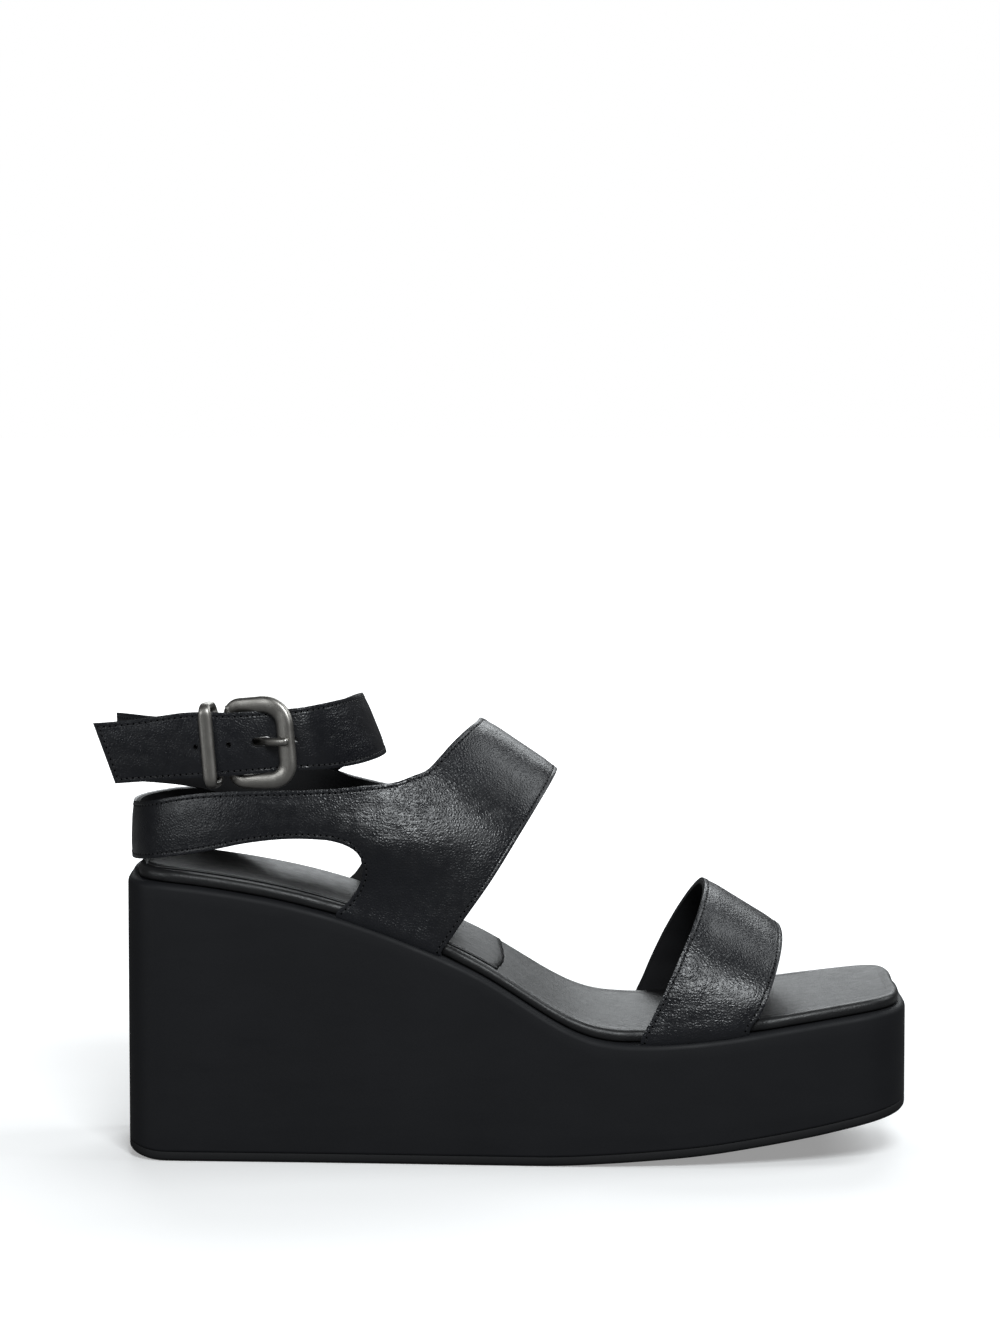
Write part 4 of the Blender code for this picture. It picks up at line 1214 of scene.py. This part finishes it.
def make_frame():
    """Cast ring: broad at the front, slimmer towards the bar, standing clear of the strap."""
    points = local_points("buckle_frame")
    front, rear = points[:, 0].max(), points[:, 0].min()
    high = points[:, 1].max()
    ahead = points[points[:, 0] > front - 1.0]
    front_rise = float(ahead[:, 2].mean())
    loop = rounded_rectangle(rear + 1.9, front - 2.95, -high + 2.6, high - 3.1, (7.0, 4.5, 4.5, 6.0))
    centres, sections = [], []
    slope = front_rise / front
    for i, (x, y) in enumerate(loop):
        nx, ny = loop[(i + 1) % len(loop)] - loop[i - 1]
        side2 = unit(np.array([ny, -nx]))
        share = smooth_step((x - rear) / (front - rear))
        side_bar = smooth_step((abs(y) - high + 6.5) / 3.0)
        crown = 1.0 * math.sin(math.pi * min(max((x - rear) / (front - rear), 0), 1)) * side_bar
        wide = 1.9 + 1.05 * share + 0.35 * side_bar * (1 - share)
        thick = 1.25 + 0.4 * share
        lift = x * slope + crown * 0.6 - (1 - share) * 0.2
        centres.append(np.array([x, y, lift]))
        along = unit(np.array([nx, ny, nx * slope]))
        side = unit(np.array([side2[0], side2[1], side2[0] * slope]))
        sections.append((wide, thick, side, unit(np.cross(along, side))))
    ring = metal_piece("frame_ring", swept_loop("frame_ring", centres, sections))
    bar_path = [np.array([0.0, y, 0.0]) for y in np.linspace(-high + 3.0, high - 3.0, 24)]
    bar_section = (1.35, 1.35, np.array([1.0, 0, 0]), np.array([0, 0, 1.0]))
    rod = swept_loop("frame_heel_bar", bar_path, [bar_section] * len(bar_path), closed=False)
    bar = metal_piece("frame_heel_bar", rod)
    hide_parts("buckle_frame")
    for piece in (ring, bar):
        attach(piece, "buckle_frame")


PRONG_DIP = 14.0


def make_prong():
    """Round pin with a blunt end, on a collar round the bar."""
    points = local_points("prong")
    end = points[:, 0].max()
    centre = []
    for x in np.linspace(3.2, end - 0.05, 14):
        near = points[np.abs(points[:, 0] - x) < 1.6]
        centre.append((x, 0.0, (near[:, 2].max() + near[:, 2].min()) / 2))
    centre = smoothed_line(np.array([(1.9, 0.0, 0.2)] + centre), 3)
    path = smooth_between(travelled(centre), centre, np.linspace(0, travelled(centre)[-1], 60))
    path[:, 2] -= 2.2 * smooth_step((PRONG_DIP - path[:, 0]) / 4.0) * smooth_step((path[:, 0] - 3.0) / 3.0)
    tangents = unit(np.gradient(path, axis=0))
    sections = []
    for i, tangent in enumerate(tangents):
        left = (len(path) - 1 - i) / len(path)
        tip = math.sqrt(max(1 - max(0.0, 1 - left / 0.05) ** 2, 0.02))
        size = (1.45 - 0.15 * i / len(path)) * tip
        side = np.array([0, 1.0, 0])
        sections.append((size, size, side, unit(np.cross(tangent, side))))
    pin = metal_piece("prong_pin", swept_loop("prong_pin", path, sections, closed=False))
    work = bmesh.new()
    sides, turns = 12, 36
    rows = []
    for i in range(turns):
        a = 2 * math.pi * i / turns
        out = Vector((math.cos(a), 0, math.sin(a)))
        ring = []
        for k in range(sides):
            b = 2 * math.pi * k / sides
            place = out * (2.1 + 0.38 * math.cos(b)) + Vector((0, 1.9 * math.sin(b), 0))
            ring.append(work.verts.new(place * MM))
        rows.append(ring)
    for i in range(turns):
        for k in range(sides):
            j, m = (i + 1) % turns, (k + 1) % sides
            work.faces.new((rows[i][k], rows[j][k], rows[j][m], rows[i][m]))
    collar = metal_piece("prong_collar", mesh_of(work, "prong_collar"))
    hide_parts("prong")
    for piece in (pin, collar):
        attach(piece, "prong")


def make_keeper():
    """Loop of half-round wire round the two layers of strap."""
    points = local_points("keeper_loop")
    low, high = points.min(axis=0), points.max(axis=0)
    middle = (low[0] + high[0]) / 2
    width = (high[0] - low[0]) / 2
    wall = 1.25
    loop = rounded_rectangle(low[2] + wall, high[2] - wall, low[1] + wall, high[1] - wall, (2.2,) * 4, 0.5)
    centres, sections = [], []
    for i, (out, up) in enumerate(loop):
        dz, dy = loop[(i + 1) % len(loop)] - loop[i - 1]
        side = unit(np.array([0.0, dz, -dy]))
        slim = 1 - 0.22 * smooth_step((abs(up) - high[1] + 5.0) / 4.0)
        centres.append(np.array([middle, up, out]))
        sections.append((wall, width * slim, -side, np.array([1.0, 0, 0])))
    keeper = metal_piece("keeper_wire", swept_loop("keeper_wire", centres, sections))
    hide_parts("keeper_loop")
    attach(keeper, "keeper")


# ---------------------------------------------------------------- studio

def studio_world():
    """White to the camera, dimmer as a light, so that dark leather keeps its depth."""
    scene = bpy.context.scene
    scene.world = scene.world or bpy.data.worlds.new("studio")
    scene.world.use_nodes = True
    tree = scene.world.node_tree
    backdrop = tree.nodes["Background"]
    seen = tree.nodes.new("ShaderNodeLightPath")
    strength = tree.nodes.new("ShaderNodeMapRange")
    strength.inputs["To Min"].default_value = 0.07
    strength.inputs["To Max"].default_value = 1.0
    tree.links.new(seen.outputs["Is Camera Ray"], strength.inputs["Value"])
    tree.links.new(strength.outputs["Result"], backdrop.inputs["Strength"])
    backdrop.inputs["Color"].default_value = (1.0, 1.0, 1.0, 1.0)


def floor_look():
    """Pale matt floor, brighter to the camera with distance so that it meets the white backdrop."""
    n = Nodes("studio_floor")
    distance = n.tree.nodes.new("ShaderNodeVectorMath")
    distance.operation = "LENGTH"
    n.set(distance, 0, n.place)
    glow = n.ramp(distance.outputs["Value"], 0.15, 0.9, 0.30, 1.0)
    seen = n.tree.nodes.new("ShaderNodeLightPath").outputs["Is Camera Ray"]
    normal = n.bump(n.noise(300, 3.0, 0.6), 0.0001, 0.2)
    pale = n.mix_colour(seen, (0.16, 0.16, 0.16), (0.80, 0.80, 0.80))
    return n.finish(Base_Color=pale, Roughness=0.9, Normal=normal, Specular_IOR_Level=0.2,
                    Emission_Color=(1.0, 1.0, 1.0, 1.0), Emission_Strength=n.maths("MULTIPLY", glow, seen))


def make_studio():
    floor_material = floor_look()
    work = bmesh.new()
    bmesh.ops.create_grid(work, x_segments=1, y_segments=1, size=6.0)
    mesh = bpy.data.meshes.new("studio_floor")
    work.to_mesh(mesh)
    work.free()
    floor = add_object("studio_floor", mesh)
    floor.data.materials.append(floor_material)
    studio_world()
    lamps = [("top_softbox", (0.95, 0.10, 0.95), 0.7, 6.5), ("front_softbox", (0.22, -1.33, 1.0), 0.44, 18.0),
             ("left_softbox", (-1.3, -0.9, 0.5), 0.6, 5.0), ("rear_softbox", (0.1, 1.2, 1.0), 1.1, 13.0)]
    for name, place, size, power in lamps:
        light = bpy.data.lights.new(name, "AREA")
        light.size = size
        light.energy = power
        light.color = (0.94, 0.98, 1.0)
        lamp = bpy.data.objects.new(name, light)
        bpy.context.scene.collection.objects.link(lamp)
        lamp.location = place
        lamp.rotation_euler = (Vector((0, 0, 0.08)) - Vector(place)).to_track_quat("-Z", "Y").to_euler()
    bpy.context.scene.view_settings.view_transform = "Standard"


def make_camera():
    """View of the outer side from slightly above, with the lens that shows the object at its scale."""
    camera = bpy.data.objects.new("camera", bpy.data.cameras.new("camera"))
    bpy.context.scene.collection.objects.link(camera)
    distance, elevation = 1.5, math.radians(8.5)
    target = Vector((0.0, 0.0, 0.07))
    camera.location = target + Vector((0, -math.cos(elevation), math.sin(elevation))) * distance
    camera.data.sensor_width = 36.0
    camera.data.lens = camera.data.sensor_width * distance / (PICTURE_HEIGHT * MM_PER_PIXEL * MM)
    aim = target + Vector((-0.0060, 0, 0.0886))
    camera.rotation_euler = (aim - camera.location).to_track_quat("-Z", "Y").to_euler()
    camera.data.clip_start = 0.05
    bpy.context.scene.camera = camera


make_sole()
make_footbed()
make_toe_strap()
make_instep_and_heel_strap()
make_ankle_strap()
make_buckle_strap()
make_frame()
make_prong()
make_keeper()
for node, hidden_material in (("insole_board", BOARD), ("footbed_foam", PADDING), ("shank", STEEL),
                              ("shank_rivet_rear", STEEL), ("shank_rivet_front", STEEL)):
    NODES[node].data.materials.clear()
    NODES[node].data.materials.append(hidden_material)
make_studio()
make_camera()
